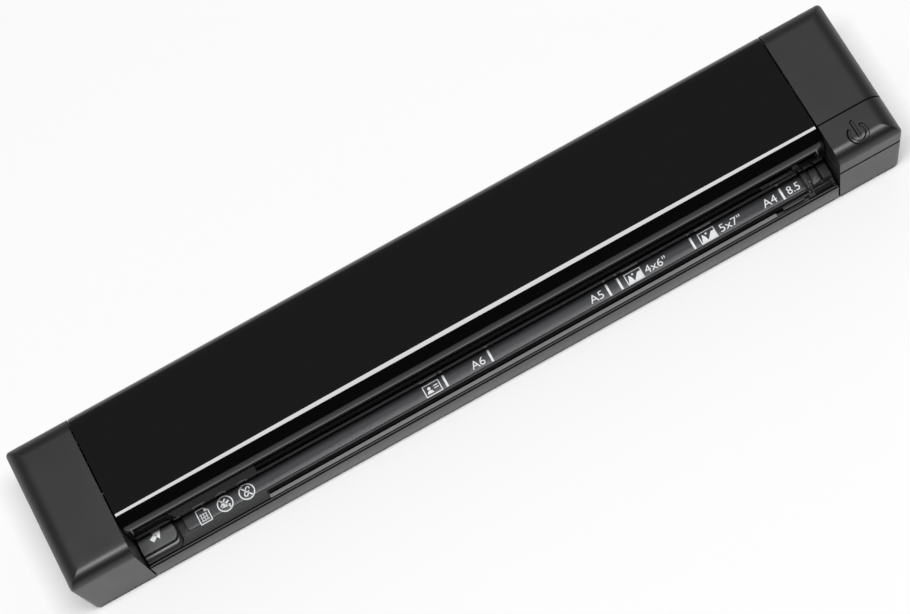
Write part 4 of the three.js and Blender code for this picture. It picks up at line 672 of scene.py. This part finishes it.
# %% Base
base_low, base_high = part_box("base_housing")
lip_front_y, lip_rear_y = -23.66 * mm, -23.1 * mm
lip_top_z, skirt_top_z, seam_floor_z = 11.95 * mm, 11.6 * mm, 10.2 * mm
skirt_foot_y, skirt_brow_y, seam_front_y = -23.14 * mm, -24.12 * mm, -23.97 * mm
base_floor_z, guide_seat_z, rear_seat_z = 2.6 * mm, 9.1 * mm, 10.3 * mm
base_section = rounded([
    (skirt_foot_y, base_low.z, heel_radius),
    (base_high.y - 0.8 * mm, base_low.z, tail_radius),
    (base_high.y, base_high.z, 0.3 * mm),
    (base_high.y - 1.6 * mm, base_high.z, 0.2 * mm),
    (base_high.y - 1.6 * mm, rear_seat_z, 0.1 * mm),
    (base_high.y - 2.2 * mm, rear_seat_z, 0.1 * mm),
    (base_high.y - 2.9 * mm, base_floor_z, 0.6 * mm),
    (skirt_foot_y + 1.6 * mm, base_floor_z, 0.6 * mm),
    (lip_rear_y + 0.8 * mm, guide_seat_z, 0.1 * mm),
    (lip_rear_y, guide_seat_z, 0.1 * mm),
    (lip_rear_y, lip_top_z, 0.2 * mm),
    (lip_front_y, lip_top_z, 0.25 * mm),
    (lip_front_y, seam_floor_z, 0.05 * mm),
    (seam_front_y, seam_floor_z, 0.05 * mm),
    (seam_front_y, skirt_top_z, 0.04 * mm),
    (skirt_brow_y, skirt_top_z, 0.08 * mm),
])
base = carried(base_section, base_low.x, base_high.x)
dress(new_piece("base_channel", *base), "housing", "base_plastic", base_plastic, "base_housing")

# %% [markdown]
# Small blocks such as the strip, the feet and the parts of the slider are stacks of level outlines
# whose last ring shrinks to a point, with the top edge drawn in over a quarter circle. The two
# parameters are the way round the outline and the way up.

# %% Stacked outlines
def stacked(outlines, heights):
    """A closed solid through level outlines, each (n, 2), at the given heights, closed by fans."""
    rings = np.array(outlines, float)
    middle = rings.mean(axis=1, keepdims=True)
    rings = np.concatenate([np.broadcast_to(middle[:1], rings[:1].shape), rings,
                            np.broadcast_to(middle[-1:], rings[:1].shape)])
    z = np.concatenate([heights[:1], heights, heights[-1:]])
    z = np.broadcast_to(z[:, None, None], (*rings.shape[:2], 1))
    points = np.concatenate([rings, z], axis=-1)
    return points.reshape(-1, 3), grid_faces(*rings.shape[:2], around=True)


def tablet(corners, low, high, ease, steps=4):
    """A flat block whose plan is rounded corners, with its top edge eased by a quarter circle."""
    plan = rounded(corners, steps=5)
    turn = quarter(steps)
    inward = np.concatenate([[0], ease * (1 - np.cos(turn))])
    heights = np.concatenate([[low], high - ease + ease * np.sin(turn)])
    around = normals_of(plan)
    return stacked([plan - around * step for step in inward], heights)


def box_plan(left, right, front, rear, radius):
    """Corners of a rectangle, anticlockwise from the front left, with one radius."""
    return [(left, front, radius), (right, front, radius),
            (right, rear, radius), (left, rear, radius)]


# %% [markdown]
# The tray is a plate with a long groove for the slider along its front edge, a pocket and a raised
# block at its right end, a shallow recess for the printed strip, and windows for the tyres under
# the cover. All of these are rectangles at some level, so the plate is a height over a grid of x
# and y: each rectangle pulls the height to its own level, over a short slope at its edges. The grid
# has lines only where an edge needs them.

# %% Tray surface
strip_low, strip_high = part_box("size_strip")
guide_low, guide_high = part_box("lower_guide")
tray_z = 12.0 * mm
tray_front_y = -22.85 * mm
tray_slope = 0.2 * mm
strip_front_y = -19.35 * mm
groove_left, groove_right = -79.6 * mm, 114.9 * mm
slot_front_y, slot_rear_y = -21.5 * mm, -20.25 * mm
ledge_right = 101.7 * mm
pocket_left, pocket_right = 115.45 * mm, 121.6 * mm
plateau_left, plateau_front_y = 119.6 * mm, -20.2 * mm
recess_x, recess_y, recess_z = -107.3 * mm, -14.9 * mm, 10.3 * mm
recess_bend = 3.5 * mm / (7.65 * mm)**2
channel_rear_y, channel_step = -19.8 * mm, 0.1 * mm
channel_z, plate_z = 9.4 * mm, 10.6 * mm
neck_y, neck_half = -13.0 * mm, 120.3 * mm
gap = 0.15 * mm
ahead, behind = tray_front_y - 1 * mm, -14.2 * mm
platen_low, platen_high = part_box("white_platen")
tray_levels = [
    (strip_low.x - gap, strip_high.x + gap, strip_front_y - gap, strip_high.y + gap, 11.65, 11.65),
    (groove_left, ledge_right, ahead, slot_front_y, 11.27, 11.68),
    (ledge_right, groove_right - 1.6 * mm, ahead, slot_front_y, 10.0, 10.0),
    (groove_left, groove_right, slot_front_y, slot_rear_y, 10.5, 10.5),
    (pocket_left, pocket_right, ahead, -22.35 * mm, 9.8, 9.8),
    (pocket_left, pocket_right, -22.35 * mm, -20.75 * mm, 11.9, 11.15),
    (pocket_left, pocket_right, -20.75 * mm, plateau_front_y, 10.7, 10.7),
    (plateau_left, guide_high.x + 1 * mm, plateau_front_y, behind, 14.2, 14.2),
    (platen_low.x - gap, platen_high.x + gap, platen_low.y - gap, platen_high.y + gap, 11.2, 11.2),
]
pin_x, pin_y, pin_radius = 121.95 * mm, -22.0 * mm, 0.55 * mm
pin_groove, pin_groove_side = 0.35 * mm, 0.2 * mm
edge_drop, edge_run = 0.12 * mm, 0.15 * mm


def tray_height(x, y):
    """Height of the tray: the plate's level, pulled to each rectangle's level inside it, with a
    slope of tray_slope across its edges; a small ring round the pin at the right end; and at the
    left end a recess for the pad, whose side is a parabola."""
    z = np.full(np.broadcast(x, y).shape, tray_z)
    for left, right, front, rear, front_level, rear_level in tray_levels:
        across = np.clip(np.minimum(x - left, right - x) / tray_slope + 0.5, 0, 1)
        along = np.clip(np.minimum(y - front, rear - y) / tray_slope + 0.5, 0, 1)
        level = np.interp(y, [front, rear], [front_level * mm, rear_level * mm])
        z = z + (level - z) * across * along
    ring = np.abs(np.hypot(x - pin_x, y - pin_y) - pin_radius)
    z = z - pin_groove * np.clip(1.2 - ring / pin_groove_side, 0, 1)
    recess_side = recess_x - recess_bend * np.minimum(y - recess_y, 0)**2
    z = z + (recess_z - z) * np.clip((recess_side - x) / tray_slope + 0.5, 0, 1)
    return z - edge_drop * np.clip((tray_front_y + edge_run - y) / edge_run, 0, 1)


# %% [markdown]
# The windows are left out of the plate by dropping the faces that lie in them: one for each rubber
# tyre, one for the paper lever, and the narrow slot that the slider's keel runs in. The plate is
# then given an underside and closed round every edge.

# %% Tray
window_gap, tyre_half = 0.7 * mm, 4.14 * mm
tyre_boxes = [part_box(f"{row}_tyre_{n}") for row in ("feed", "exit") for n in (1, 2, 3)]
slot_end, keel_front_y, keel_rear_y = 0.3 * mm, -21.38 * mm, -20.37 * mm
windows = [(groove_left + slot_end, groove_right - slot_end, keel_front_y, keel_rear_y)]
for low, high in tyre_boxes:
    middle = (low.y + high.y) / 2
    windows.append((low.x - window_gap, high.x + window_gap,
                    middle - tyre_half, middle + tyre_half))
lever_x, lever_half, lever_front_y, lever_rear_y = -63.86 * mm, 1.7 * mm, -12.9 * mm, -7.4 * mm
windows.append((lever_x - lever_half, lever_x + lever_half, lever_front_y, lever_rear_y))


def grid_lines(low, high, edges, step, extra=()):
    """Grid lines: both sides of each edge's slope, the extra ones, and fillers a step apart."""
    edges = np.array(edges)
    lines = np.concatenate([edges - tray_slope / 2, edges + tray_slope / 2, extra, [low, high]])
    lines = np.unique(np.round(np.clip(lines, low, high), 7))
    spans = zip(lines[:-1], lines[1:])
    filled = [np.linspace(a, b, int(np.ceil((b - a) / step)) + 1) for a, b in spans]
    return np.unique(np.round(np.concatenate(filled), 8))


x_step, y_step = 6 * mm, 3 * mm
pin_lines = np.arange(-1.1, 1.11, 0.11) * mm
recess_lines = np.arange(-111.3, -107.05, 0.15) * mm
recess_rows = np.arange(-22.7, -14.8, 0.5) * mm
x_edges = [place for row in tray_levels for place in row[:2]]
y_edges = [place for row in tray_levels for place in row[2:4]]
x_windows = [place for row in windows for place in row[:2]]
y_windows = [place for row in windows for place in row[2:4]]
tray_x = grid_lines(guide_low.x, guide_high.x, x_edges, x_step,
                    [*x_windows, neck_half, -neck_half, *(pin_x + pin_lines), *recess_lines])
tray_y = grid_lines(tray_front_y, guide_high.y, y_edges, y_step,
                    [*y_windows, neck_y, channel_rear_y, channel_rear_y + channel_step,
                     tray_front_y + edge_run, *(pin_y + pin_lines[8:]), *recess_rows])
over_x, over_y = np.meshgrid(tray_x, tray_y)
top_z = tray_height(over_x, over_y)
under_z_of = np.where(over_y < channel_rear_y + channel_step / 2, channel_z, plate_z)
top_skin = np.stack([over_x, over_y, top_z], axis=-1).reshape(-1, 3)
under_skin = np.stack([over_x, over_y, under_z_of], axis=-1).reshape(-1, 3)
tray_faces = grid_faces(*over_x.shape)
face_x, face_y = top_skin[tray_faces].mean(axis=1)[:, :2].T
keep = (face_y < neck_y) | (np.abs(face_x) < neck_half)
for left, right, front, rear in windows:
    keep &= ~((face_x > left) & (face_x < right) & (face_y > front) & (face_y < rear))
tray = new_piece("tray_plate", *wall(top_skin, under_skin, tray_faces[keep]), sharp=25)
dress(tray, "housing", "tray_satin", tray_satin, "lower_guide")

# %% [markdown]
# The size strip is a printed film let into the tray. Its corners are round and its top is level
# with the tray, so the thin gap round it shows as a dark line.

# %% Size strip
strip_corner, strip_ease = 1.2 * mm, 0.1 * mm
strip_plan = box_plan(strip_low.x, strip_high.x, strip_front_y, strip_high.y, strip_corner)
strip = new_piece("size_film", *tablet(strip_plan, strip_low.z, strip_high.z, strip_ease))
dress(strip, "housing", "strip_print", strip_film, "size_strip")

# %% [markdown]
# The marks are printed in white: a bar at the edge of each paper size, its name, and small icons
# for a card, a photograph, a page, and two rings that forbid staples and clips. A stroke is a
# ribbon of even width along a line of points, and each mark is a film of a few hundredths of a
# millimetre.

# %% Strokes
film = 0.03 * mm


def stroke(points, width, closed=False):
    """A flat ribbon along points: each is moved to both sides along the mean normal of its chords,
    divided by the cosine of the half turn, so that corners keep the width."""
    points = np.array(points, float) * mm
    if closed:
        points = np.concatenate([points[-1:], points, points[:1]])
    chords = np.diff(points, axis=0)
    across = np.stack([-chords[:, 1], chords[:, 0]], axis=-1)
    across /= np.linalg.norm(across, axis=1, keepdims=True)
    before = np.concatenate([across[:1], across])
    after = np.concatenate([across, across[-1:]])
    mean = before + after
    mean = 2 * mean / (mean**2).sum(axis=1, keepdims=True)
    side = mean * width * mm / 2
    rows = np.stack([points - side, points + side], axis=1)
    if closed:
        rows = rows[1:-1]
        rows = np.concatenate([rows, rows[:1]])
    return rows.reshape(-1, 2), grid_faces(len(rows), 2)


def fan(points):
    """A filled outline, as triangles from its middle."""
    points = np.array(points, float) * mm
    rows = np.stack([np.broadcast_to(points.mean(axis=0), points.shape), points])
    return rows.reshape(-1, 2), grid_faces(2, len(points), around=True)


def ring_points(x, y, radius, start=0, end=360, steps=32):
    """Points on a circle between two angles in degrees."""
    angle = np.radians(np.linspace(start, end, steps, endpoint=end - start < 360))
    return np.stack([x + radius * np.cos(angle), y + radius * np.sin(angle)], axis=-1)


def printed(shapes, z):
    """Flat shapes as one closed film lying on the height z."""
    parts = []
    for flat, faces in shapes:
        top = np.concatenate([flat, np.full((len(flat), 1), z + film)], axis=1)
        top, faces, _ = welded(top, faces)
        bottom = top - [0, 0, film]
        parts.append(wall(top, bottom, faces))
    return joined(parts)


# %% [markdown]
# The icons are drawn with these strokes, in millimetres on the strip.

# %% Icons and bars
bar_places = [-14.4, 1.75, 44.1, 48.2, 74.3, 106.4]
bar_front, bar_rear, bar_width = -19.1, -14.85, 0.75
line_width = 0.32


def framed(left, right, front, rear):
    """The outline of an upright rectangle."""
    return stroke([(left, front), (right, front), (right, rear), (left, rear)], line_width, True)


def card_icon(left, right, front, rear):
    """A card with a bust and two lines of writing."""
    x, y = left + 0.32 * (right - left), (front + rear) / 2
    return [
        framed(left, right, front, rear),
        fan(ring_points(x, y + 0.55, 0.55, steps=16)),
        fan(ring_points(x, y - 1.15, 1.05, 0, 180, 14)),
        stroke([(x + 1.6, y + 0.7), (right - 0.6, y + 0.7)], line_width),
        stroke([(x + 1.6, y - 0.1), (right - 0.6, y - 0.1)], line_width),
    ]


def photo_icon(left, right, front, rear):
    """A framed picture of two hills and a sun."""
    low = front + 0.1
    return [
        framed(left, right, front, rear),
        fan([(left + 0.2, low), (left + 2.5, low),
             (left + 1.9, rear - 1.7), (left + 1.2, rear - 0.7)]),
        fan([(left + 2.2, low), (right - 0.1, low),
             (right - 0.1, rear - 1.0), (right - 1.3, rear - 1.1)]),
        fan(ring_points(left + 2.55, rear - 0.95, 0.36, steps=14)),
    ]


def page_icon(x, y):
    """A page with a folded corner and a table on it."""
    half_x, half_y, fold = 1.95, 2.45, 1.3
    edge = [(-half_x, -half_y), (half_x, -half_y), (half_x, half_y - fold),
            (half_x - fold, half_y), (-half_x, half_y)]
    shapes = [stroke(np.array(edge) + [x, y], line_width, True)]
    corner = [(half_x - fold, half_y), (half_x - fold, half_y - fold), (half_x, half_y - fold)]
    shapes.append(fan(np.array(corner) + [x, y]))
    for step in (-1, 0, 1):
        shapes.append(stroke([(x - 1.3, y - 0.55 + step), (x + 1.3, y - 0.55 + step)], 0.24))
        shapes.append(stroke([(x + 0.9 * step, y - 1.9), (x + 0.9 * step, y + 0.75)], 0.24))
    return shapes


def forbidden(x, y, radius=2.5):
    """A ring with a slanted bar."""
    tip = radius * np.array([np.cos(np.radians(52)), np.sin(np.radians(52))])
    return [
        stroke(ring_points(x, y, radius), 0.4, True),
        stroke([(x + tip[0], y - tip[1]), (x - tip[0], y + tip[1])], 0.4),
    ]


def staple_icon(x, y):
    """Crossed staples in a ring."""
    shapes = forbidden(x, y)
    for turn in (-24, 0, 24):
        angle = np.radians(turn + 20)
        along = np.array([np.cos(angle), np.sin(angle)]) * 1.5
        shift = np.array([-np.sin(angle), np.cos(angle)]) * turn / 30
        shapes.append(stroke([(x, y) - along + shift, (x, y) + along + shift], 0.55))
    return shapes


def clip_icon(x, y):
    """A wire clip in a ring: two straight sides joined by half turns."""
    turn = ring_points(0, 1.1, 0.55, 0, 180, 9)
    inner = ring_points(0, -0.9, 0.55, 180, 360, 9)
    wire = np.concatenate([turn, inner, [[0.55, 0.5]]])
    tilt = np.radians(-35)
    spin = np.array([[np.cos(tilt), -np.sin(tilt)], [np.sin(tilt), np.cos(tilt)]])
    return [*forbidden(x, y), stroke(wire @ spin.T + [x, y], 0.36)]


# %% [markdown]
# The bars and the icons stand where they were measured on the strip, and together they make one
# film.

# %% Printed marks
card = (-21.8, -16.3, -19.1, -15.3)
photo_wide, photo_small = (50.5, 56.0, -18.9, -15.2), (76.9, 82.4, -18.9, -15.2)
icon_y = -17.2
shapes = [stroke([(x, bar_front), (x, bar_rear)], bar_width) for x in bar_places]
shapes += card_icon(*card) + photo_icon(*photo_wide) + photo_icon(*photo_small)
shapes += page_icon(-100.6, icon_y) + staple_icon(-93.0, icon_y) + clip_icon(-85.3, icon_y)
marks = new_piece("strip_icons", *printed(shapes, strip_high.z))
dress(marks, "housing", "strip_print", print_white)

# %% [markdown]
# The names of the paper sizes are text objects with Blender's own font. Each becomes a mesh first,
# and then its points are scaled to the height of the print and moved to their place as arrays.

# %% Size names
names = [("A6", -5.1, -0.4), ("A5", 37.4, 42.1), ('4x6"', 57.1, 64.7), ('5x7"', 84.0, 91.5),
         ("A4", 99.5, 104.3), ("8.5", 108.2, 112.5)]
base_line, name_height, text_depth = -18.45, 2.75, 0.02


def lettering(words):
    """Points and faces of a text, extruded by half a film to both sides."""
    text = bpy.data.curves.new("words", "FONT")
    text.body = words
    text.extrude = text_depth / 2
    holder = placed("words", text)
    bpy.context.view_layer.update()
    shape = holder.evaluated_get(bpy.context.evaluated_depsgraph_get()).to_mesh()
    points = np.empty(len(shape.vertices) * 3)
    shape.vertices.foreach_get("co", points)
    faces = [tuple(face.vertices) for face in shape.polygons]
    holder.to_mesh_clear()
    bpy.data.objects.remove(holder)
    return points.reshape(-1, 3), faces


all_points, all_faces = [], []
for words, left, right in names:
    points, faces = lettering(words)
    low, high = points.min(axis=0), points.max(axis=0)
    size = np.array([right - left, name_height, film / mm]) * mm / (high - low)
    start = sum(len(part) for part in all_points)
    all_points.append((points - low) * size + np.array([left * mm, base_line * mm, strip_high.z]))
    all_faces += [tuple(start + corner for corner in face) for face in faces]
name_mesh = bpy.data.meshes.new("strip_names")
name_mesh.from_pydata(np.concatenate(all_points).tolist(), [], all_faces)
dress(placed("strip_names", name_mesh), "housing", "strip_print", print_white)
print("size names:", len(name_mesh.vertices), "points")

# %% [markdown]
# The left pad is a fixed block beside the sheet, where it is fed in. Its side and front round down
# to the tray, and its grained face is a plate let in behind the brow, so a dark line runs between
# them. The face's grain is real, but its base colour, lighter than the block's dark satin, is
# painted sheen that stands in for the shine the grain gives the top. Both are stacks of level
# rectangles whose right and front sides move from level to level; the feed arrow is printed on the
# plate.

# %% Left pad
pad_low, pad_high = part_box("left_pad")
pad_rear_y = -14.0 * mm
nose_turn = np.radians([4, 18, 32, 46, 60, 74, 86])
nose_radius, nose_y, nose_z = 2.1 * mm, -20.75 * mm, 11.45 * mm
brow = np.array([[-20.5, 13.05, -110.1], [-20.42, 13.0, -110.2], [-20.3, 13.6, -110.35]]) * mm
nose = np.stack([
    nose_y - nose_radius * np.cos(nose_turn),
    nose_z + nose_radius * np.sin(nose_turn),
    np.linspace(-109.6, -110.05, len(nose_turn)) * mm,
], axis=-1)
nose[0, 1] = 10.45 * mm
pad_corner, pad_seam_corner = 2.2 * mm, 0.2 * mm


def pad_outline(front, right):
    """The pad's level outline: square at the seam, round at its free corners."""
    return rounded([
        (pad_low.x, front, pad_seam_corner),
        (right, front, pad_corner),
        (right, pad_rear_y, pad_corner),
        (pad_low.x, pad_rear_y, pad_seam_corner),
    ], steps=6)


def pad_stack(sides):
    """A solid through rows of front side, height and right side."""
    return stacked([pad_outline(front, right) for front, _, right in sides], sides[:, 1])


pad_sides = np.concatenate([nose, brow])
pad = new_piece("left_pad_block", *pad_stack(pad_sides), sharp=30)
dress(pad, "housing", "pad_plastic", tray_satin, "left_pad")
face_sides = np.array([[-20.2, 13.2, -110.2], [-20.2, 14.05, -110.2], [-20.13, 14.2, -110.27],
                       [-19.98, 14.28, -110.42], [-19.8, 14.3, -110.6]]) * mm
# The face is lighter than the block: painted sheen on the grained top.
pad_face = new_piece("left_pad_face", *pad_stack(face_sides), sharp=30)
dress(pad_face, "housing", "pad_plastic", pad_plastic)
arrow_head = [(-114.4, -14.4), (-117.8, -14.5), (-115.75, -17.75)]
arrow_shaft = [(-116.2, -16.0), (-117.4, -15.6), (-118.85, -16.5),
               (-117.9, -17.9), (-116.75, -17.0)]
arrow = new_piece("feed_arrow", *printed([fan(arrow_head), fan(arrow_shaft)], pad_high.z))
dress(arrow, "housing", "pad_plastic", print_white)

# %% [markdown]
# The paper guide slides along the groove. It is a thin fence that the sheet runs against, a tile
# for the finger with three small ribs, and a foot in the groove with a keel under the tray. They
# are blocks with eased edges that overlap, made as one mesh on the sliding body.

# %% Paper guide
slider_low, slider_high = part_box("paper_guide")
fence_left, fence_tip, fence_rear, rail = 113.9, -20.7, -14.9, 12.25
foot_left, foot_right = 104.2, 114.55
keel_inset, flange_height = 0.8 * mm, 1.1 * mm
fence_plan = [(fence_left, fence_tip, 0.15), (114.6, fence_tip, 0.15),
              (115.9, fence_rear, 0.15), (fence_left, fence_rear, 0.15)]
tile_plan = [(115.7, -20.5, 0.6), (119.1, -19.9, 0.6), (119.2, -15.3, 0.6), (116.9, -14.9, 0.6)]
block_sizes = [
    (114.3, 116.6, -18.6, -15.7, 0.2, rail, 12.7, 0.1),
    (fence_left, 114.6, -21.3, -20.5, 0.1, 10.8, 12.6, 0.1),
    (foot_left, foot_right, -21.45, -20.85, 0.1, 10.8, 11.8, 0.1),
    (foot_left, 111.9, -22.1, -20.95, 0.3, 11.72, 11.95, 0.15),
]
rib_places, rib_half = (-18.9, -18.1, -17.3), 0.15
rib_sizes = [(117.6, 118.8, y - rib_half, y + rib_half, 0.1, 14.1, 14.42, 0.1) for y in rib_places]


def block(*sizes):
    """A tablet on a rectangle: its box_plan, its two heights and its eased edge, in millimetres."""
    *plan, low, high, ease = np.array(sizes) * mm
    return tablet(box_plan(*plan), low, high, ease)


def under_foot(front, rear, radius, top):
    """A block from the underside of the slider to a height, narrower than the foot at both ends."""
    left, right = foot_left * mm + keel_inset, foot_right * mm - keel_inset
    plan = box_plan(left, right, front * mm, rear * mm, radius * mm)
    return tablet(plan, slider_low.z, top, 0.1 * mm)


slider_blocks = [
    tablet(np.array(fence_plan) * mm, rail * mm, slider_high.z, 0.2 * mm),
    tablet(np.array(tile_plan) * mm, rail * mm, 14.3 * mm, 0.25 * mm),
    *[block(*sizes) for sizes in block_sizes],
    under_foot(-21.3, -20.8, 0.1, 11.0 * mm),
    under_foot(-21.8, -20.3, 0.2, slider_low.z + flange_height),
    *[block(*sizes) for sizes in rib_sizes],
]
slider = new_piece("paper_slider", *joined(slider_blocks))
dress(slider, "paper_guide", "guide_plastic", slider_plastic, "paper_guide")

# %% [markdown]
# Four rubber pads stand a millimetre proud of the base. Each is a round block, drawn in at the edge
# that touches the table.

# %% Feet
foot_rubber = moulded("foot_rubber", (0.02, 0.02, 0.02), 0.75, 3.0, 0.01)
foot_share = [(0.86, 0.0), (0.97, 0.12), (1.0, 0.4), (1.0, 1.3)]
for number in (1, 2, 3, 4):
    low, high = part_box(f"foot_{number}")
    x, y, radius = (low.x + high.x) / 2, (low.y + high.y) / 2, (high.x - low.x) / 2
    circles = [ring_points(x, y, radius * share, steps=48) for share, _ in foot_share]
    heights = np.array([height for _, height in foot_share]) * mm
    foot = new_piece(f"foot_pad_{number}", *stacked(circles, heights))
    dress(foot, "housing", "foot_rubber", foot_rubber, f"foot_{number}")

# %% [markdown]
# What lies inside keeps its CAD shape and gets a finish of its own: turned steel has lines round
# it, folded sheet has them along the rolling, gears and bushes are pale smooth mouldings, and the
# board is green lacquer with a mottled tone. The finishes are found by the names that the CAD
# pieces carry.

# %% Finishes inside
def clear_plastic(name, colour, roughness, ior):
    """Clear glass or plastic with a faint haze on its surface."""
    finish, shader = new_finish(name, colour, roughness, ior=ior)
    shader.inputs["Transmission Weight"].default_value = 0.9
    vary_roughness(finish, shader, noise(finish, 0.4), roughness * 0.7, roughness * 1.4)
    return finish


round_lines, long_lines, rolled_lines = (6.0, 0.3, 0.3), (0.2, 5.0, 5.0), (5.0, 0.3, 5.0)
recipes = {
    moulded: [
        ("inner_black", (0.022, 0.022, 0.023), 0.5, 4.0, 0.006),
        ("platen_white", (0.82, 0.82, 0.80), 0.45, 5.0, 0.002, 0.03),
        ("lever_plastic", (0.03, 0.03, 0.03), 0.4, 5.0, 0.003),
        ("gear_plastic", (0.78, 0.76, 0.70), 0.42, 4.0, 0.003, 0.05),
        ("pinch_plastic", (0.62, 0.62, 0.60), 0.38, 4.0, 0.003, 0.06),
        ("bush_plastic", (0.70, 0.68, 0.60), 0.35, 4.0, 0.002, 0.05),
        ("roller_rubber", (0.035, 0.035, 0.036), 0.7, 4.0, 0.02, 0.2),
        ("board_green", (0.012, 0.10, 0.035), 0.35, 2.5, 0.004, 0.35),
        ("ribbon_white", (0.80, 0.80, 0.78), 0.4, 3.0, 0.003, 0.04),
    ],
    drawn_metal: [
        ("shaft_steel", (0.62, 0.62, 0.62), 0.22, round_lines),
        ("screw_steel", (0.30, 0.30, 0.31), 0.32, round_lines),
        ("spring_steel", (0.55, 0.55, 0.54), 0.25, long_lines),
        ("frame_steel", (0.56, 0.57, 0.58), 0.34, rolled_lines),
        ("motor_steel", (0.60, 0.60, 0.59), 0.30, long_lines),
        ("socket_steel", (0.66, 0.66, 0.65), 0.24, long_lines),
    ],
    clear_plastic: [
        ("sensor_glass", (0.96, 0.98, 0.97), 0.04, 1.52),
        ("light_clear", (0.95, 0.95, 0.94), 0.12, 1.49),
    ],
}
inside = {"cap_plastic": cap_plastic}
for make, rows in recipes.items():
    inside.update({row[0]: make(*row) for row in rows})
for name, node in nodes.items():
    for slot in node.material_slots:
        if slot.material and slot.material.name in inside:
            slot.material = inside[slot.material.name]
print("finishes inside:", len(inside))

# %% [markdown]
# The studio is a dim grey room, darker in front than behind, round a white table. One long soft
# lamp hangs overhead and a little to the front. It lies where only the cover's slope mirrors it at
# the photo's angle, and the flat top of the cover mirrors the room, so the top stays black.

# %% Lamp and room
lamp_elevation = np.radians(81.0)
lamp_distance = 3.0
lamp_length, lamp_width = 2.2, 0.72
lamp_watts = 86.0
walls_ramp, table_ramp = (-0.35, 0.35, 0.03, 0.24), (0.06, 0.16, 1.0, 0.0)
table_white = 0.9


def make_lamp():
    """A rectangular lamp whose face looks at the origin."""
    data = bpy.data.lights.new("overhead", "AREA")
    data.shape = "RECTANGLE"
    data.size, data.size_y = lamp_length, lamp_width
    data.energy = lamp_watts
    lamp = placed("overhead", data)
    height, forward = np.sin(lamp_elevation), np.cos(lamp_elevation)
    lamp.location = (0, -lamp_distance * forward, lamp_distance * height)
    lamp.rotation_euler = (np.pi / 2 - lamp_elevation, 0, 0)


def make_room():
    """The room's brightness: the table's white low down, else a ramp from front to back."""
    world = bpy.data.worlds.new("studio")
    bpy.context.scene.world = world
    world.use_nodes = True
    tree = world.node_tree
    way = tree.nodes.new("ShaderNodeTexCoord")
    split = tree.nodes.new("ShaderNodeSeparateXYZ")
    tree.links.new(way.outputs["Generated"], split.inputs["Vector"])
    walls = mapped(tree, split.outputs["Y"], *walls_ramp)
    table = mapped(tree, split.outputs["Z"], *table_ramp)
    mix = tree.nodes.new("ShaderNodeMix")
    mix.inputs["B"].default_value = table_white
    tree.links.new(table, mix.inputs["Factor"])
    tree.links.new(walls, mix.inputs["A"])
    tree.links.new(mix.outputs["Result"], tree.nodes["Background"].inputs["Color"])


make_lamp()
make_room()
print("lamp at", np.degrees(lamp_elevation).round(1), "degrees")

# %% [markdown]
# The table is a plain pale sheet, far wider than the view, that keeps the machine's soft shadow.

# %% Floor
floor_half = 20.0
floor_corners = floor_half * np.array([[-1, -1, 0], [1, -1, 0], [1, 1, 0], [-1, 1, 0]], float)
floor_mesh = bpy.data.meshes.new("floor")
floor_mesh.from_pydata(floor_corners.tolist(), [], [(0, 1, 2, 3)])
floor = placed("floor", floor_mesh)
floor_paint, _ = new_finish("floor_paint", (0.97, 0.97, 0.97), 0.9)
floor_mesh.materials.append(floor_paint)

# %% [markdown]
# The view transform is Standard, so that a colour shows as it is written.

# %% Finish
bpy.context.scene.view_settings.view_transform = "Standard"
